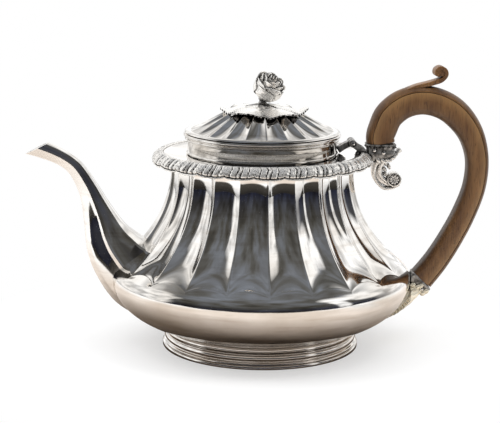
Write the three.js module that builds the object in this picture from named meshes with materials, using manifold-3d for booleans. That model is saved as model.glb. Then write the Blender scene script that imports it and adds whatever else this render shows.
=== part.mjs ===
// A fluted silver teapot with a hinged lid, a cast border and a wooden handle.
// Millimetres, +Z up. The origin is the centre of the foot's resting face,
// the spout points along -X and the handle stands at +X.
import * as THREE from 'three';
import { mergeVertices } from 'three/addons/utils/BufferGeometryUtils.js';
import Module from 'manifold-3d';

const wasm = await Module();
wasm.setup();

// ---- body ----
const fluteCount = 22;           // hollow panels around the body and the lid
const wall = 1.2;                // silver sheet
const joinGap = 0.3;             // between pieces that meet
const footHeight = 13.3;
const footRadius = 60.8;
const footLip = 4.2;             // width of the resting face
const bowlRadius = 92.5;
const bowlRise = 30;             // foot to the widest line
const bowlCurveMargin = 2;       // the bowl's curve stops this far above its own flat bottom
const footTopInset = 2.2;        // the foot narrows this much towards the bowl
const shoulderInset = 20;        // rounding of the shoulder, inwards
const shoulderHeight = 12;       // rounding of the shoulder, upwards
const fluteEndRise = 7.6;        // widest line to the tips of the flutes
const seamRise = 3.7;            // widest line to the seam of the two halves
const waistRise = 61;            // flute tips to the narrowest ring
const shelfWidth = 8;            // lid's edge to the neck's outside
const waistPower = 2.2;          // how quickly the waist flares
const fluteDepth = 2.6;
const neckFlare = 3.6;           // the neck opens again under the border
const neckFlareRise = 5.8;
const collarSpread = 4.4;        // border's top edge past the neck
const borderReach = 7;           // width of the drooping border
const borderDrop = 6.2;
const borderMotifs = 24;
const mouthInset = 6.5;          // lid's edge to the mouth
const plateDish = 1;             // the mouth plate sinks this far inside the border
const ringSides = 40;            // facets round a plain ring

// ---- lid ----
const lidRadius = 48;
const lidBandHeight = 9.2;
const lidRimHeight = 3.4;
const domeRise = 14.6;
const domeTopRadius = 8;
const bezelDepth = 6;
const bezelPlay = 0.7;           // bezel to mouth
const ventRadius = 1.5;
const studRadius = 1.8;
const studPlay = 0.3;
const leafCount = 6;
const leafReach = 26;
const roseRadius = 9.6;
const roseHeight = 12.5;
const roseLean = 8;              // degrees towards the handle
const stemHeight = 4.3;
const leafThickness = 1.1;
const leafDroop = 1.7;
const leafTipLift = 14;          // how sharply the last fifth of a leaf turns up
const leafTipWidth = 0.42;       // share of a leaf's reach left between two leaves
const lidFluteDepth = 1.6;
const nutHeight = 2.6;
const washerThickness = 0.8;
const washerRadius = 5.4;

// ---- hinge ----
const hingeReach = 7;            // lid rim to the pin
const pinRadius = 0.95;
const pinPlay = 0.09;
const knuckleRadius = 2.3;
const lidKnuckleLength = 6;
const bodyKnuckleLength = 3.2;
const strapThickness = 2.6;

// ---- spout ----
const spoutWall = 1.3;
const spoutRootInset = 12.5;     // the root line lies this far inside the bowl
const spoutRootRise = 3;         // and this far above the widest line
const spoutReach = 60;           // root line to the tip, along X
const spoutLift = 71;            // root line to the tip, along Z
const lipSlope = 0.5;            // tilt of the pouring lip
const strainerRadius = 1.7;
const strainerPitch = 7;

// ---- handle ----
const handleReach = 61;          // upper joint to the outermost grip
const handleWidth = 17;          // front to back of the wood at the top
const handleLowerWidth = 14.4;
const handleDepth = 13.4;        // across, along Y
const handleChamfer = 3;
const thumbRadius = 4.4;
const thumbRise = 8.1;
const hingeToSocket = 9;         // hinge pin to the front of the upper socket
const upperJointRise = 5.6;      // mouth to the top of the upper socket
const lowerStandoff = 1;         // bowl to the lower end of the wood
const lowerJointDrop = 3.3;      // widest line down to that joint
const socketWall = 1.1;
const socketPlay = 0.3;
const upperSocketHeight = 10.4;
const lowerSocketHeight = 5.6;
const pinHeadOverhang = 0.5;
const handlePinRadius = 0.9;
const handlePinPlay = 0.08;
const bracketWidth = 8;
const scrollThickness = 4.6;
const scrollWidth = 8.4;
const rosetteRadius = 4.5;

// ---- levels and places worked out from the sizes above ----
const neckRadius = lidRadius + shelfWidth;
const mouthRadius = lidRadius - mouthInset;
const bowlBaseRadius = footRadius - footTopInset;
const bowlBaseShare = Math.sqrt(1 - (bowlRise / (bowlRise + bowlCurveMargin)) ** 2);
const bowlCurveWidth = (bowlRadius - bowlBaseRadius) / (1 - bowlBaseShare);
const widestZ = footHeight + bowlRise;
const seamZ = widestZ + seamRise;
const fluteEndZ = widestZ + fluteEndRise;
const neckZ = fluteEndZ + waistRise;
const neckTopZ = neckZ + neckFlareRise;
const plateZ = neckTopZ + joinGap;
const plateTopZ = plateZ + 2.5;
const collarRadius = neckRadius + collarSpread;
const lidBottomZ = plateTopZ - plateDish + joinGap;
const rimZ = lidBottomZ + lidBandHeight;
const domeZ = rimZ + lidRimHeight;
const domeTopZ = domeZ + domeRise;
const leafZ = domeTopZ + 2 * joinGap;
const stemZ = leafZ + leafThickness + joinGap;
const roseZ = stemZ + stemHeight + joinGap;
const hingeWidth = lidKnuckleLength + 2 * (bodyKnuckleLength + joinGap);
const hingePinX = lidRadius + hingeReach;
const hingePinZ = rimZ - 2.7;
const socketFront = hingePinX + hingeToSocket;
const upperJoint = new THREE.Vector2(socketFront + joinGap + handleWidth / 2, plateTopZ + upperJointRise);
const lowerJointX = bowlRadius + lowerStandoff + handleLowerWidth / 2;
const lowerJoint = new THREE.Vector2(lowerJointX, widestZ - lowerJointDrop);

const silver = { color: 0xc9c9c6, roughness: 0.18, metalness: 1 };
const darkSilver = { color: 0x8b8883, roughness: 0.35, metalness: 1 };
const fruitwood = { color: 0x7a5230, roughness: 0.5, metalness: 0 };

const teapot = new THREE.Group();

function addPart(name, geometry, finish) {
  const mesh = new THREE.Mesh(sealed(geometry), new THREE.MeshStandardMaterial(finish));
  mesh.name = name;
  teapot.add(mesh);
}

// ---- geometry helpers ----

// One welded skin whose faces look out of the material.
function sealed(geometry) {
  const bare = geometry.clone();
  bare.deleteAttribute('normal');
  bare.deleteAttribute('uv');
  const skin = mergeVertices(bare, 1e-4);
  const spots = skin.attributes.position;
  const faces = skin.index;
  const a = new THREE.Vector3();
  const b = new THREE.Vector3();
  const c = new THREE.Vector3();
  const kept = [];
  let volume = 0;
  for (let i = 0; i < faces.count; i += 3) {
    const corners = [faces.getX(i), faces.getX(i + 1), faces.getX(i + 2)];
    if (new Set(corners).size < 3) continue;
    a.fromBufferAttribute(spots, corners[0]);
    b.fromBufferAttribute(spots, corners[1]);
    c.fromBufferAttribute(spots, corners[2]);
    volume += a.dot(b.cross(c));
    kept.push(corners);
  }
  const turned = volume < 0 ? kept.map(([p, q, r]) => [p, r, q]) : kept;
  skin.setIndex(turned.flat());
  return skin;
}

function toSolid(geometry) {
  const skin = sealed(geometry);
  const vertProperties = new Float32Array(skin.attributes.position.array);
  const triVerts = new Uint32Array(skin.index.array);
  return new wasm.Manifold(new wasm.Mesh({ numProp: 3, vertProperties, triVerts }));
}

function toGeometry(solid) {
  const mesh = solid.getMesh();
  const geometry = new THREE.BufferGeometry();
  geometry.setAttribute('position', new THREE.BufferAttribute(mesh.vertProperties, 3));
  geometry.setIndex(new THREE.BufferAttribute(mesh.triVerts, 1));
  return sealed(geometry);
}

function point(x, y) {
  return new THREE.Vector2(x, y);
}

// A ring or cap turned about Z. Each profile point is (radius, height).
function turned(profile, segments) {
  return new THREE.LatheGeometry(profile, segments).rotateX(Math.PI / 2);
}

function closedRing(profile, segments = ringSides) {
  return turned([...profile, profile[0]], segments);
}

// Moves every vertex of a turned shape: change(radius, z, turn) gives [radius, z].
function reshape(geometry, change) {
  const spots = geometry.attributes.position;
  for (let i = 0; i < spots.count; i += 1) {
    const x = spots.getX(i);
    const y = spots.getY(i);
    const turn = Math.atan2(x, -y);
    const [radius, z] = change(Math.hypot(x, y), spots.getZ(i), turn);
    spots.setXYZ(i, radius * Math.sin(turn), -radius * Math.cos(turn), z);
  }
  return geometry;
}

// 0 on a ridge between two panels, 1 in the middle of a panel.
function panelHollow(turn) {
  const across = (((turn * fluteCount) / (2 * Math.PI)) % 1 + 1) % 1;
  return 1 - (2 * across - 1) ** 2;
}

// A flat outline in the XZ plane, given as (x, z), made `width` thick about y = 0.
function slab(outline, width, chamfer = 0) {
  const geometry = new THREE.ExtrudeGeometry(new THREE.Shape(outline), {
    depth: width - 2 * chamfer,
    bevelEnabled: chamfer > 0,
    bevelThickness: chamfer,
    bevelSize: chamfer,
    bevelOffset: -chamfer,
    bevelSegments: 1,
    curveSegments: 8,
  });
  geometry.translate(0, 0, -(width - 2 * chamfer) / 2);
  return geometry.rotateX(Math.PI / 2);
}

function rodAlongY(radius, length, x, z, sides = 14) {
  return new THREE.CylinderGeometry(radius, radius, length, sides).translate(x, 0, z);
}

function curve(points, count) {
  return new THREE.SplineCurve(points).getPoints(count);
}

// Outline of a strip that follows a curve with a half width at each of its points.
function strip(path, halfWidths, count) {
  const line = new THREE.SplineCurve(path);
  const widths = new THREE.SplineCurve(halfWidths.map((half, i) => point(i, half)));
  const left = [];
  const right = [];
  for (let i = 0; i <= count; i += 1) {
    const t = i / count;
    const at = line.getPoint(t);
    const along = line.getTangent(t);
    const half = widths.getPoint(t).y;
    left.push(point(at.x - along.y * half, at.y + along.x * half));
    right.unshift(point(at.x + along.y * half, at.y - along.x * half));
  }
  return [...left, ...right];
}

// ---- body profile ----

// Radius of the bowl below its widest line: a quarter of an ellipse.
function bowlRadiusAt(z) {
  const core = bowlRadius - bowlCurveWidth;
  const depth = bowlRise + bowlCurveMargin;
  return core + bowlCurveWidth * Math.sqrt(1 - ((widestZ - z) / depth) ** 2);
}

// Radius of the rounded shoulder above the widest line, and nothing above the shoulder.
function shoulderRadiusAt(z) {
  const climb = (z - widestZ) / shoulderHeight;
  if (climb > 1) return 0;
  return bowlRadius - shoulderInset * (1 - Math.sqrt(1 - climb ** 2));
}

// Radius of the ridges between the panels, from the flute tips to the neck.
function ridgeRadiusAt(z) {
  const climb = Math.min(Math.max((z - fluteEndZ) / waistRise, 0), 1);
  const flare = Math.max((z - neckZ) / neckFlareRise, 0);
  const tip = shoulderRadiusAt(fluteEndZ);
  return neckRadius + (tip - neckRadius) * (1 - climb) ** waistPower + neckFlare * flare ** 2;
}

function waistRadiusAt(z, turn) {
  if (z <= fluteEndZ) return shoulderRadiusAt(z);
  const fade = Math.min(1, Math.max(0, (neckTopZ - z) / neckFlareRise));
  const fluted = ridgeRadiusAt(z) - fluteDepth * fade * panelHollow(turn);
  return Math.max(fluted, shoulderRadiusAt(z));
}

// Points on the outside of the bowl, from the foot up to the seam.
function bowlFace(clearance) {
  const levels = [0, 0.14, 0.34, 0.62, 1].map((t) => footHeight + t * bowlRise);
  const face = levels.map((z) => point(bowlRadiusAt(z) + clearance, z));
  return [...face, point(shoulderRadiusAt(seamZ) + clearance, seamZ)];
}

// Everything inside the outer face of the body, for trimming what is soldered to it.
function bodyCore(clearance) {
  const lower = bowlFace(clearance);
  const upper = [point(shoulderRadiusAt(seamZ) + clearance, seamZ + joinGap)];
  for (let i = 1; i <= 10; i += 1) {
    const z = fluteEndZ + (neckTopZ - fluteEndZ) * ((i - 1) / 9) ** 1.3;
    upper.push(point(Math.max(ridgeRadiusAt(z), shoulderRadiusAt(z)) + clearance, z));
  }
  const profile = [point(0, lower[0].y), ...lower, ...upper, point(0, neckTopZ)];
  return toSolid(turned(profile, 6 * fluteCount));
}

function strainerHoles() {
  const tool = new THREE.CylinderGeometry(strainerRadius, strainerRadius, 40, 6).rotateZ(Math.PI / 2);
  const holes = [];
  for (let row = -2; row <= 2; row += 1) {
    const across = row % 2 === 0 ? [-1, 0, 1] : [-0.5, 0.5];
    for (const side of across) {
      const z = fluteEndZ + 0.2 + row * strainerPitch * 0.87;
      if (Math.abs(z - seamZ) < strainerRadius + wall) continue;
      holes.push(toSolid(tool.clone().translate(-bowlRadius + 6, side * strainerPitch, z)));
    }
  }
  return holes;
}

function pierce(geometry, holes) {
  let solid = toSolid(geometry);
  for (const hole of holes) solid = solid.subtract(hole);
  return toGeometry(solid);
}

function makeBowl() {
  const outer = bowlFace(0);
  const inner = outer.map((p) => point(p.x - wall, Math.min(p.y + wall * 0.4, seamZ))).reverse();
  return pierce(closedRing([...outer, ...inner], 3 * fluteCount), strainerHoles());
}

function makeWaist() {
  const levels = [seamZ + joinGap, fluteEndZ, fluteEndZ + 3.2];
  for (const t of [0.14, 0.27, 0.47, 0.74, 1]) levels.push(fluteEndZ + t * waistRise);
  levels.push(neckTopZ);
  const outer = levels.map((z) => point(100, z));
  const inner = levels.map((z) => point(50, z)).reverse();
  const shell = reshape(closedRing([...outer, ...inner], 3 * fluteCount), (radius, z, turn) => {
    const face = waistRadiusAt(z, turn);
    return [radius > 75 ? face : face - wall, z];
  });
  return pierce(shell, strainerHoles());
}

function makeFootRing() {
  const top = footHeight - joinGap;
  const outer = [
    point(footRadius, 0), point(footRadius, 2.4), point(footRadius - 1.8, 3.8),
    point(footRadius - 2, 7.4), point(footRadius - 0.9, 8.6), point(footRadius - 2.4, 9.8),
    point(bowlBaseRadius, top),
  ];
  const inner = [
    point(bowlBaseRadius - 2 * wall, top), point(footRadius - footLip, 8), point(footRadius - footLip, 0),
  ];
  return closedRing([...outer, ...inner]);
}

// The disc let into the bottom of the bowl, inside the foot.
function makeBaseDisc() {
  const z = footHeight;
  const rim = bowlRadiusAt(z) - wall - joinGap;
  const disc = [point(0, z + 1), point(rim * 0.6, z + 0.6), point(rim, z), point(rim, z + wall)];
  disc.push(point(rim * 0.6, z + 0.6 + wall), point(0, z + 1 + wall));
  return turned(disc, ringSides);
}

// The flat top plate with the mouth the lid's bezel drops into.
function makeMouthPlate() {
  const edge = collarRadius - joinGap;
  const dish = lidRadius - 1;
  const low = plateTopZ - plateDish;
  return closedRing([
    point(edge, plateZ), point(edge, plateTopZ), point(dish, low), point(mouthRadius, low),
    point(mouthRadius, low - wall), point(dish, low - wall), point(edge - wall, plateZ),
  ]);
}

// The cast border droops round the neck. Its edge is scalloped once for each motif.
function makeBorder() {
  const topZ = plateTopZ;
  const ring = closedRing([
    point(collarRadius, topZ), point(collarRadius + borderReach * 0.5, topZ - borderDrop * 0.2),
    point(collarRadius + borderReach, topZ - borderDrop * 0.75),
    point(collarRadius + borderReach * 0.93, topZ - borderDrop),
    point(collarRadius + borderReach * 0.45, topZ - borderDrop * 0.75), point(collarRadius, topZ - 2.4),
  ], 3 * borderMotifs);
  const cast = reshape(ring, (radius, z, turn) => {
    const out = (radius - collarRadius) / borderReach;
    const lobe = Math.cos(turn * borderMotifs);
    return [radius - out * 0.6 * (1 - lobe), z + out * 0.5 * (1 - lobe)];
  });
  const notch = new THREE.BoxGeometry(30, Math.max(bracketWidth, hingeWidth) + 2 * joinGap, 20);
  notch.translate(collarRadius + 12, 0, topZ - 4);
  return toGeometry(toSolid(cast).subtract(toSolid(notch)));
}

// ---- spout ----

// Each station: distance along X and Z from the root line to the tip (0 to 1),
// half the height of the section, half its width, and its lean in degrees.
const spoutStations = [
  { out: -0.28, up: -0.1, tall: 25, wide: 24, lean: 24 },
  { out: 0, up: 0, tall: 22, wide: 20, lean: 27 },
  { out: 0.17, up: 0.16, tall: 18, wide: 15.5, lean: 42 },
  { out: 0.26, up: 0.3, tall: 14.4, wide: 12, lean: 54 },
  { out: 0.32, up: 0.46, tall: 10.6, wide: 9, lean: 63 },
  { out: 0.38, up: 0.61, tall: 7.9, wide: 7.2, lean: 70 },
  { out: 0.45, up: 0.75, tall: 6.2, wide: 6.1, lean: 66 },
  { out: 0.57, up: 0.91, tall: 5.3, wide: 5.3, lean: 52 },
  { out: 0.72, up: 1, tall: 5.1, wide: 4.8, lean: 30 },
  { out: 0.92, up: 1.07, tall: 5.6, wide: 4.6, lean: 14 },
  { out: 1.1, up: 1.12, tall: 6.2, wide: 4.4, lean: 12 },
];

// The faceted section: across and up, each from -1 to 1.
const spoutSection = [
  point(0, -1), point(0.6, -0.74), point(1, 0.08), point(0.7, 0.86),
  point(0, 0.8), point(-0.7, 0.86), point(-1, 0.08), point(-0.6, -0.74),
];

function spoutRoot() {
  return new THREE.Vector3(-(bowlRadius - spoutRootInset), 0, widestZ + spoutRootRise);
}

// A solid loft of the spout's section, `inset` smaller all round.
function spoutLoft(inset, overrun) {
  const sides = spoutSection.length;
  const steps = 2 * (spoutStations.length - 1);
  const geometry = new THREE.CylinderGeometry(1, 1, 1, sides, steps);
  const sizes = (key) => new THREE.SplineCurve(spoutStations.map((s, i) => point(i, s[key])));
  const curves = Object.fromEntries(Object.keys(spoutStations[0]).map((key) => [key, sizes(key)]));
  const root = spoutRoot();
  const spots = geometry.attributes.position;
  for (let i = 0; i < spots.count; i += 1) {
    const t = Math.min(Math.max(spots.getY(i) + 0.5, 0), 1);
    const read = (key) => curves[key].getPoint(t).y;
    const lean = THREE.MathUtils.degToRad(read('lean'));
    const end = t === 0 ? -overrun : t === 1 ? overrun : 0;
    const x = root.x - read('out') * spoutReach - end * Math.cos(lean);
    const z = root.z + read('up') * spoutLift + end * Math.sin(lean);
    const radial = Math.hypot(spots.getX(i), spots.getZ(i));
    const around = Math.atan2(spots.getX(i), spots.getZ(i));
    const corner = Math.round(((around / (2 * Math.PI)) * sides + sides) % sides) % sides;
    const section = radial < 0.5 ? point(0, 0) : spoutSection[corner];
    const across = section.x * (read('wide') - inset);
    const rise = section.y * (read('tall') - inset);
    spots.setXYZ(i, x + rise * Math.sin(lean), across, z + rise * Math.cos(lean));
  }
  return toSolid(geometry);
}

// The block above the pouring lip, cut away so that the beak opens upwards.
function lipCutter() {
  const size = 60;
  const tip = new THREE.Vector3(spoutRoot().x - 1.095 * spoutReach, 0, spoutRoot().z + 1.01 * spoutLift);
  const block = new THREE.BoxGeometry(size, size, size).translate(0, 0, size / 2);
  block.rotateY(-Math.atan(lipSlope)).translate(tip.x, tip.y, tip.z);
  return toSolid(block);
}

function makeSpout() {
  const tube = spoutLoft(0, 0).subtract(spoutLoft(spoutWall, 2));
  return toGeometry(tube.subtract(bodyCore(joinGap)).subtract(lipCutter()));
}

// ---- lid ----

function domeRadiusAt(t) {
  const outer = lidRadius - 1.7;
  return domeTopRadius + (outer - domeTopRadius) * (1 - t);
}

function domeZAt(t) {
  return domeZ + joinGap + domeRise * t * (1 + 0.35 * Math.sin(Math.PI * t));
}

function makeDome() {
  const stops = [0, 0.14, 0.42, 0.7, 1];
  const outer = stops.map((t) => point(domeRadiusAt(t), domeZAt(t)));
  const hole = studRadius + studPlay;
  const crown = domeZAt(1);
  const inner = outer.map((p) => point(p.x - wall * 0.7, p.y - wall)).reverse();
  inner[inner.length - 1] = point(outer[0].x - 2 * wall, outer[0].y + joinGap);
  const profile = [...outer, point(hole, crown), point(hole, crown - wall), ...inner];
  const dome = reshape(closedRing(profile, 2 * fluteCount), (radius, z, turn) => {
    const out = Math.min(1, Math.max(0, (radius - domeTopRadius) / (domeRadiusAt(0) - domeTopRadius)));
    return [radius, z - lidFluteDepth * Math.sin(Math.PI * out) * panelHollow(turn)];
  });
  const vent = new THREE.CylinderGeometry(ventRadius, ventRadius, 20, 8).rotateX(Math.PI / 2);
  vent.translate(-domeTopRadius - 6, 0, domeTopZ - 4);
  return pierce(dome, [toSolid(vent)]);
}

// The moulded wall of the lid, with a thin bead under a rounded rim.
function makeLidBand() {
  const band = lidRadius - 2.2;
  return closedRing([
    point(band, lidBottomZ), point(band + 0.5, lidBottomZ + 1.4), point(band, lidBottomZ + 2.2),
    point(band, rimZ - 1), point(lidRadius - 1, rimZ - 0.4), point(lidRadius, rimZ + lidRimHeight * 0.45),
    point(lidRadius - 1, domeZ), point(band - 2 * wall, domeZ), point(band - wall, rimZ),
    point(band - wall, lidBottomZ + joinGap), point(band - 2 * wall, lidBottomZ),
  ]);
}

// The straight collar inside the lid that drops into the mouth.
function makeBezel() {
  const outer = mouthRadius - bezelPlay;
  const seat = lidRadius - 2.2 - wall - joinGap;
  const top = lidBottomZ + joinGap + wall;
  return closedRing([
    point(outer, lidBottomZ), point(outer - 0.4, lidBottomZ - bezelDepth),
    point(outer - 0.4 - wall, lidBottomZ - bezelDepth), point(outer - wall, top + wall),
    point(seat, top + wall), point(seat, lidBottomZ + 2 * joinGap), point(outer, lidBottomZ + 2 * joinGap),
  ]);
}

// A leaf outline repeated round the finial: 1 at a leaf's tip, low between two leaves.
function leafSpread(turn) {
  const between = Math.abs(Math.cos((turn * leafCount) / 2));
  return leafTipWidth + (1 - leafTipWidth) * (1 - between) ** 0.7;
}

function makeLeaves() {
  const hole = studRadius + studPlay;
  const radii = [hole, leafReach * 0.4, leafReach * 0.75, leafReach];
  const outer = radii.map((r) => point(r, leafZ + leafThickness));
  const inner = radii.map((r) => point(r, leafZ)).reverse();
  return reshape(closedRing([...outer, ...inner], 6 * leafCount), (radius, z, turn) => {
    const spread = hole + (radius - hole) * leafSpread(turn);
    const out = spread / leafReach;
    return [spread, z - leafDroop * out ** 2 + leafTipLift * Math.max(0, out - 0.8) ** 1.6];
  });
}

function makeStem() {
  const hole = studRadius + studPlay;
  const top = stemZ + stemHeight;
  return closedRing([
    point(4, stemZ), point(2.9, stemZ + 1.5), point(3.3, top), point(hole, top), point(hole, stemZ),
  ], 14);
}

// The half-open rose, leaning a little towards the handle.
function makeRose() {
  const profile = [
    point(0, 0), point(3.2, 0.2), point(6.4, 3), point(roseRadius, 7.6), point(roseRadius - 0.6, roseHeight),
    point(roseRadius - 2.6, roseHeight + 3), point(roseRadius - 3.8, roseHeight + 1.6),
    point(3.4, roseHeight + 2), point(2.4, roseHeight - 0.2), point(0, roseHeight),
  ];
  const bud = reshape(turned(profile, 20), (radius, z, turn) => [radius * (1 + 0.06 * Math.cos(5 * turn)), z]);
  bud.rotateY(THREE.MathUtils.degToRad(roseLean)).translate(2, 0, roseZ + 0.4);
  const socket = new THREE.CylinderGeometry(studRadius + studPlay, studRadius + studPlay, 12, 12);
  socket.rotateX(Math.PI / 2).translate(0, 0, roseZ);
  return toGeometry(toSolid(bud).subtract(toSolid(socket)));
}

function makeStud() {
  const bottom = domeTopZ - 6;
  const top = roseZ + 4;
  const rod = new THREE.CylinderGeometry(studRadius, studRadius, top - bottom, 12).rotateX(Math.PI / 2);
  return rod.translate(0, 0, (top + bottom) / 2);
}

function makeWasher() {
  const top = domeZAt(1) - wall - joinGap;
  const hole = studRadius + studPlay;
  const low = top - washerThickness;
  return closedRing([point(hole, top), point(washerRadius, top), point(washerRadius, low), point(hole, low)], 16);
}

function makeNut() {
  const top = domeZAt(1) - wall - 2 * joinGap - washerThickness;
  const hole = (studRadius + studPlay) / Math.cos(Math.PI / 6);
  const outer = 2 * studRadius;
  const low = top - nutHeight;
  return closedRing([point(hole, top), point(outer, top), point(outer, low), point(hole, low)], 6);
}

// ---- hinge ----

function knuckle(length, y) {
  const barrel = rodAlongY(knuckleRadius, length, hingePinX, hingePinZ, 16).translate(0, y, 0);
  return toSolid(barrel);
}

function pinBore() {
  return toSolid(rodAlongY(pinRadius + pinPlay, 40, hingePinX, hingePinZ, 16));
}

function makeLidStrap() {
  const root = point(lidRadius - 1.4, lidBottomZ + 3.2);
  const arm = strip([root, point(hingePinX - 1, hingePinZ - 1)], [strapThickness / 2, strapThickness / 2], 1);
  const keep = toSolid(turned([
    point(0, lidBottomZ - 2), point(lidRadius - 2.2 + joinGap, lidBottomZ - 2),
    point(lidRadius - 2.2 + joinGap + 0.5, lidBottomZ + 1.4), point(lidRadius - 2.2 + joinGap, rimZ - 0.8),
    point(lidRadius + joinGap, rimZ), point(lidRadius + joinGap, domeZ), point(0, domeZ),
  ], 2 * borderMotifs));
  const solid = toSolid(slab(arm, lidKnuckleLength)).add(knuckle(lidKnuckleLength, 0));
  return toGeometry(solid.subtract(keep).subtract(pinBore()));
}

const socketFloor = upperJoint.y - upperSocketHeight - 2 * joinGap;
const bracketTopZ = plateZ - 2 * joinGap;

function makeBodyStrap() {
  const half = strapThickness / 2;
  const foot = point(socketFront - half - joinGap, bracketTopZ + joinGap + half * 0.3);
  const line = [point(hingePinX + 1, hingePinZ - 1), point(foot.x - 1.2, foot.y + 4.6), foot];
  const offset = (lidKnuckleLength + bodyKnuckleLength) / 2 + joinGap;
  const gapBox = new THREE.BoxGeometry(2 * knuckleRadius + 8, lidKnuckleLength + 2 * joinGap, 2 * knuckleRadius + 8);
  gapBox.translate(hingePinX - 2, 0, hingePinZ);
  let solid = toSolid(slab(strip(line, [half, half, half], 4), hingeWidth)).subtract(toSolid(gapBox));
  solid = solid.add(knuckle(bodyKnuckleLength, offset)).add(knuckle(bodyKnuckleLength, -offset));
  return toGeometry(solid.subtract(pinBore()));
}

function makeHingePin() {
  return rodAlongY(pinRadius, hingeWidth + 2 * pinHeadOverhang, hingePinX, hingePinZ, 16);
}

// ---- handle ----

// Where a point of the handle lies: rise 0 is the lower joint, rise 1 the upper joint,
// and reach is how far it stands out from the line between them, 1 at its outermost.
function handlePoint(rise, reach) {
  const x = THREE.MathUtils.lerp(lowerJoint.x, upperJoint.x, rise) + reach * handleReach;
  return point(x, THREE.MathUtils.lerp(lowerJoint.y, upperJoint.y, rise));
}

const handleLine = [
  [0.92, 0], [1.02, 0.01], [1.1, 0.06], [1.2, 0.17], [1.28, 0.352], [1.309, 0.554], [1.278, 0.736], [1.196, 0.87],
  [1.06, 0.95], [0.881, 0.938], [0.684, 0.83], [0.492, 0.65], [0.313, 0.444], [0.137, 0.213], [0, 0], [-0.09, -0.13],
];

function handleHalfWidths() {
  const grip = [1, 1, 1.03, 1.05, 1.05, 1.04, 1.03, 1.02];
  const lower = [1.08, 0.98, 0.965, 0.98, 1.01, 1.04, 1.07, 1.07];
  return [...grip.map((k) => (k * handleWidth) / 2), ...lower.map((k) => (k * handleLowerWidth) / 2)];
}

// The axis of the lower joint points down and in towards the bowl.
const lowerLean = THREE.MathUtils.degToRad(45);

function tenon(width, depth, length) {
  return new THREE.BoxGeometry(width, depth, length).translate(0, 0, -length / 2);
}

function atLowerJoint(geometry) {
  return geometry.rotateY(lowerLean).translate(lowerJoint.x, 0, lowerJoint.y);
}

function atUpperJoint(geometry) {
  return geometry.translate(upperJoint.x, 0, upperJoint.y);
}

function tenonWidth(jointWidth) {
  return jointWidth - 2 * (socketWall + socketPlay);
}

const tenonDepth = handleDepth - 2 * (socketWall + socketPlay);

const upperPins = [point(-4.6, -3.8), point(1.2, -5.4)].map((p) => p.clone().add(upperJoint));
const lowerPin = lowerJoint.clone().add(point(-0.4, -5.2));

function pinHoles(places) {
  return places.map((p) => toSolid(rodAlongY(handlePinRadius + handlePinPlay, 40, p.x, p.y, 12)));
}

// The small scrolled thumb rest on top of the wood.
function thumbRest() {
  const top = handlePoint(1.309, 0.62);
  const crest = top.y + handleWidth / 2;
  const neck = [
    point(top.x - 10, crest - 1), point(top.x - 1, crest + 0.6), point(top.x + 3, crest + 2.2),
    point(top.x + 6.2, crest + 4.4), point(top.x + 8.6, crest + 2.2), point(top.x + 7.4, crest - 0.6),
    point(top.x + 4, crest - 2.4), point(top.x - 8, crest - 2.4),
  ];
  const volute = rodAlongY(thumbRadius, handleDepth - 4, top.x + 4.9, crest + thumbRise, 16);
  return toSolid(slab(neck, handleDepth - 4)).add(toSolid(volute));
}

function makeHandle() {
  const path = handleLine.map(([rise, reach]) => handlePoint(rise, reach));
  const grip = toSolid(slab(strip(path, handleHalfWidths(), 22), handleDepth, handleChamfer));
  const upper = tenon(tenonWidth(handleWidth), tenonDepth, upperSocketHeight - 1);
  const lower = tenon(tenonWidth(handleLowerWidth), tenonDepth, lowerSocketHeight - 1);
  const below = new THREE.BoxGeometry(40, 40, 20);
  const trimUpper = atUpperJoint(below.clone().translate(0, 0, -10));
  const trimLower = atLowerJoint(below.clone().translate(0, 0, -10));
  let solid = grip.add(thumbRest()).subtract(toSolid(trimUpper)).subtract(toSolid(trimLower));
  solid = solid.add(toSolid(atUpperJoint(upper.translate(0, 0, 0.5))));
  solid = solid.add(toSolid(atLowerJoint(lower.translate(0, 0, 0.5))));
  for (const hole of pinHoles([...upperPins, lowerPin])) solid = solid.subtract(hole);
  return toGeometry(solid);
}

// A rectangular sleeve with cut corners round a tenon, open at the top.
function sleeve(width, height) {
  const half = width / 2;
  const deep = handleDepth / 2;
  const cut = 2;
  const outline = [
    point(-half, -deep + cut), point(-half + cut, -deep), point(half - cut, -deep), point(half, -deep + cut),
    point(half, deep - cut), point(half - cut, deep), point(-half + cut, deep), point(-half, deep - cut),
  ];
  const shell = new THREE.ExtrudeGeometry(new THREE.Shape(outline), { depth: height, bevelEnabled: false });
  shell.translate(0, 0, -height - joinGap);
  const inside = height - joinGap;
  const hollow = new THREE.BoxGeometry(
    tenonWidth(width) + 2 * socketPlay, tenonDepth + 2 * socketPlay, inside + 20,
  );
  hollow.translate(0, 0, 10 - inside / 2);
  return { shell, hollow };
}

function makeUpperSocket() {
  const { shell, hollow } = sleeve(handleWidth, upperSocketHeight);
  let solid = toSolid(atUpperJoint(shell)).subtract(toSolid(atUpperJoint(hollow)));
  for (const hole of pinHoles(upperPins)) solid = solid.subtract(hole);
  return toGeometry(solid);
}

// The lower socket with the round boss that carries it on the bowl.
function makeLowerSocket() {
  const { shell, hollow } = sleeve(handleLowerWidth, lowerSocketHeight);
  const boss = new THREE.CylinderGeometry(5, 5.6, 14, 14).rotateZ(Math.PI / 2);
  boss.translate(lowerJoint.x - 10, 0, lowerJoint.y - 0.6);
  const above = new THREE.BoxGeometry(40, 40, 20).translate(0, 0, 10 - joinGap);
  let solid = toSolid(atLowerJoint(shell)).add(toSolid(boss)).subtract(toSolid(atLowerJoint(hollow)));
  solid = solid.subtract(toSolid(atLowerJoint(above)));
  for (const hole of pinHoles([lowerPin])) solid = solid.subtract(hole);
  return toGeometry(solid.subtract(bodyCore(joinGap)));
}

function handlePinAt(place) {
  return rodAlongY(handlePinRadius, handleDepth + 2 * pinHeadOverhang, place.x, place.y, 12);
}

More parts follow.
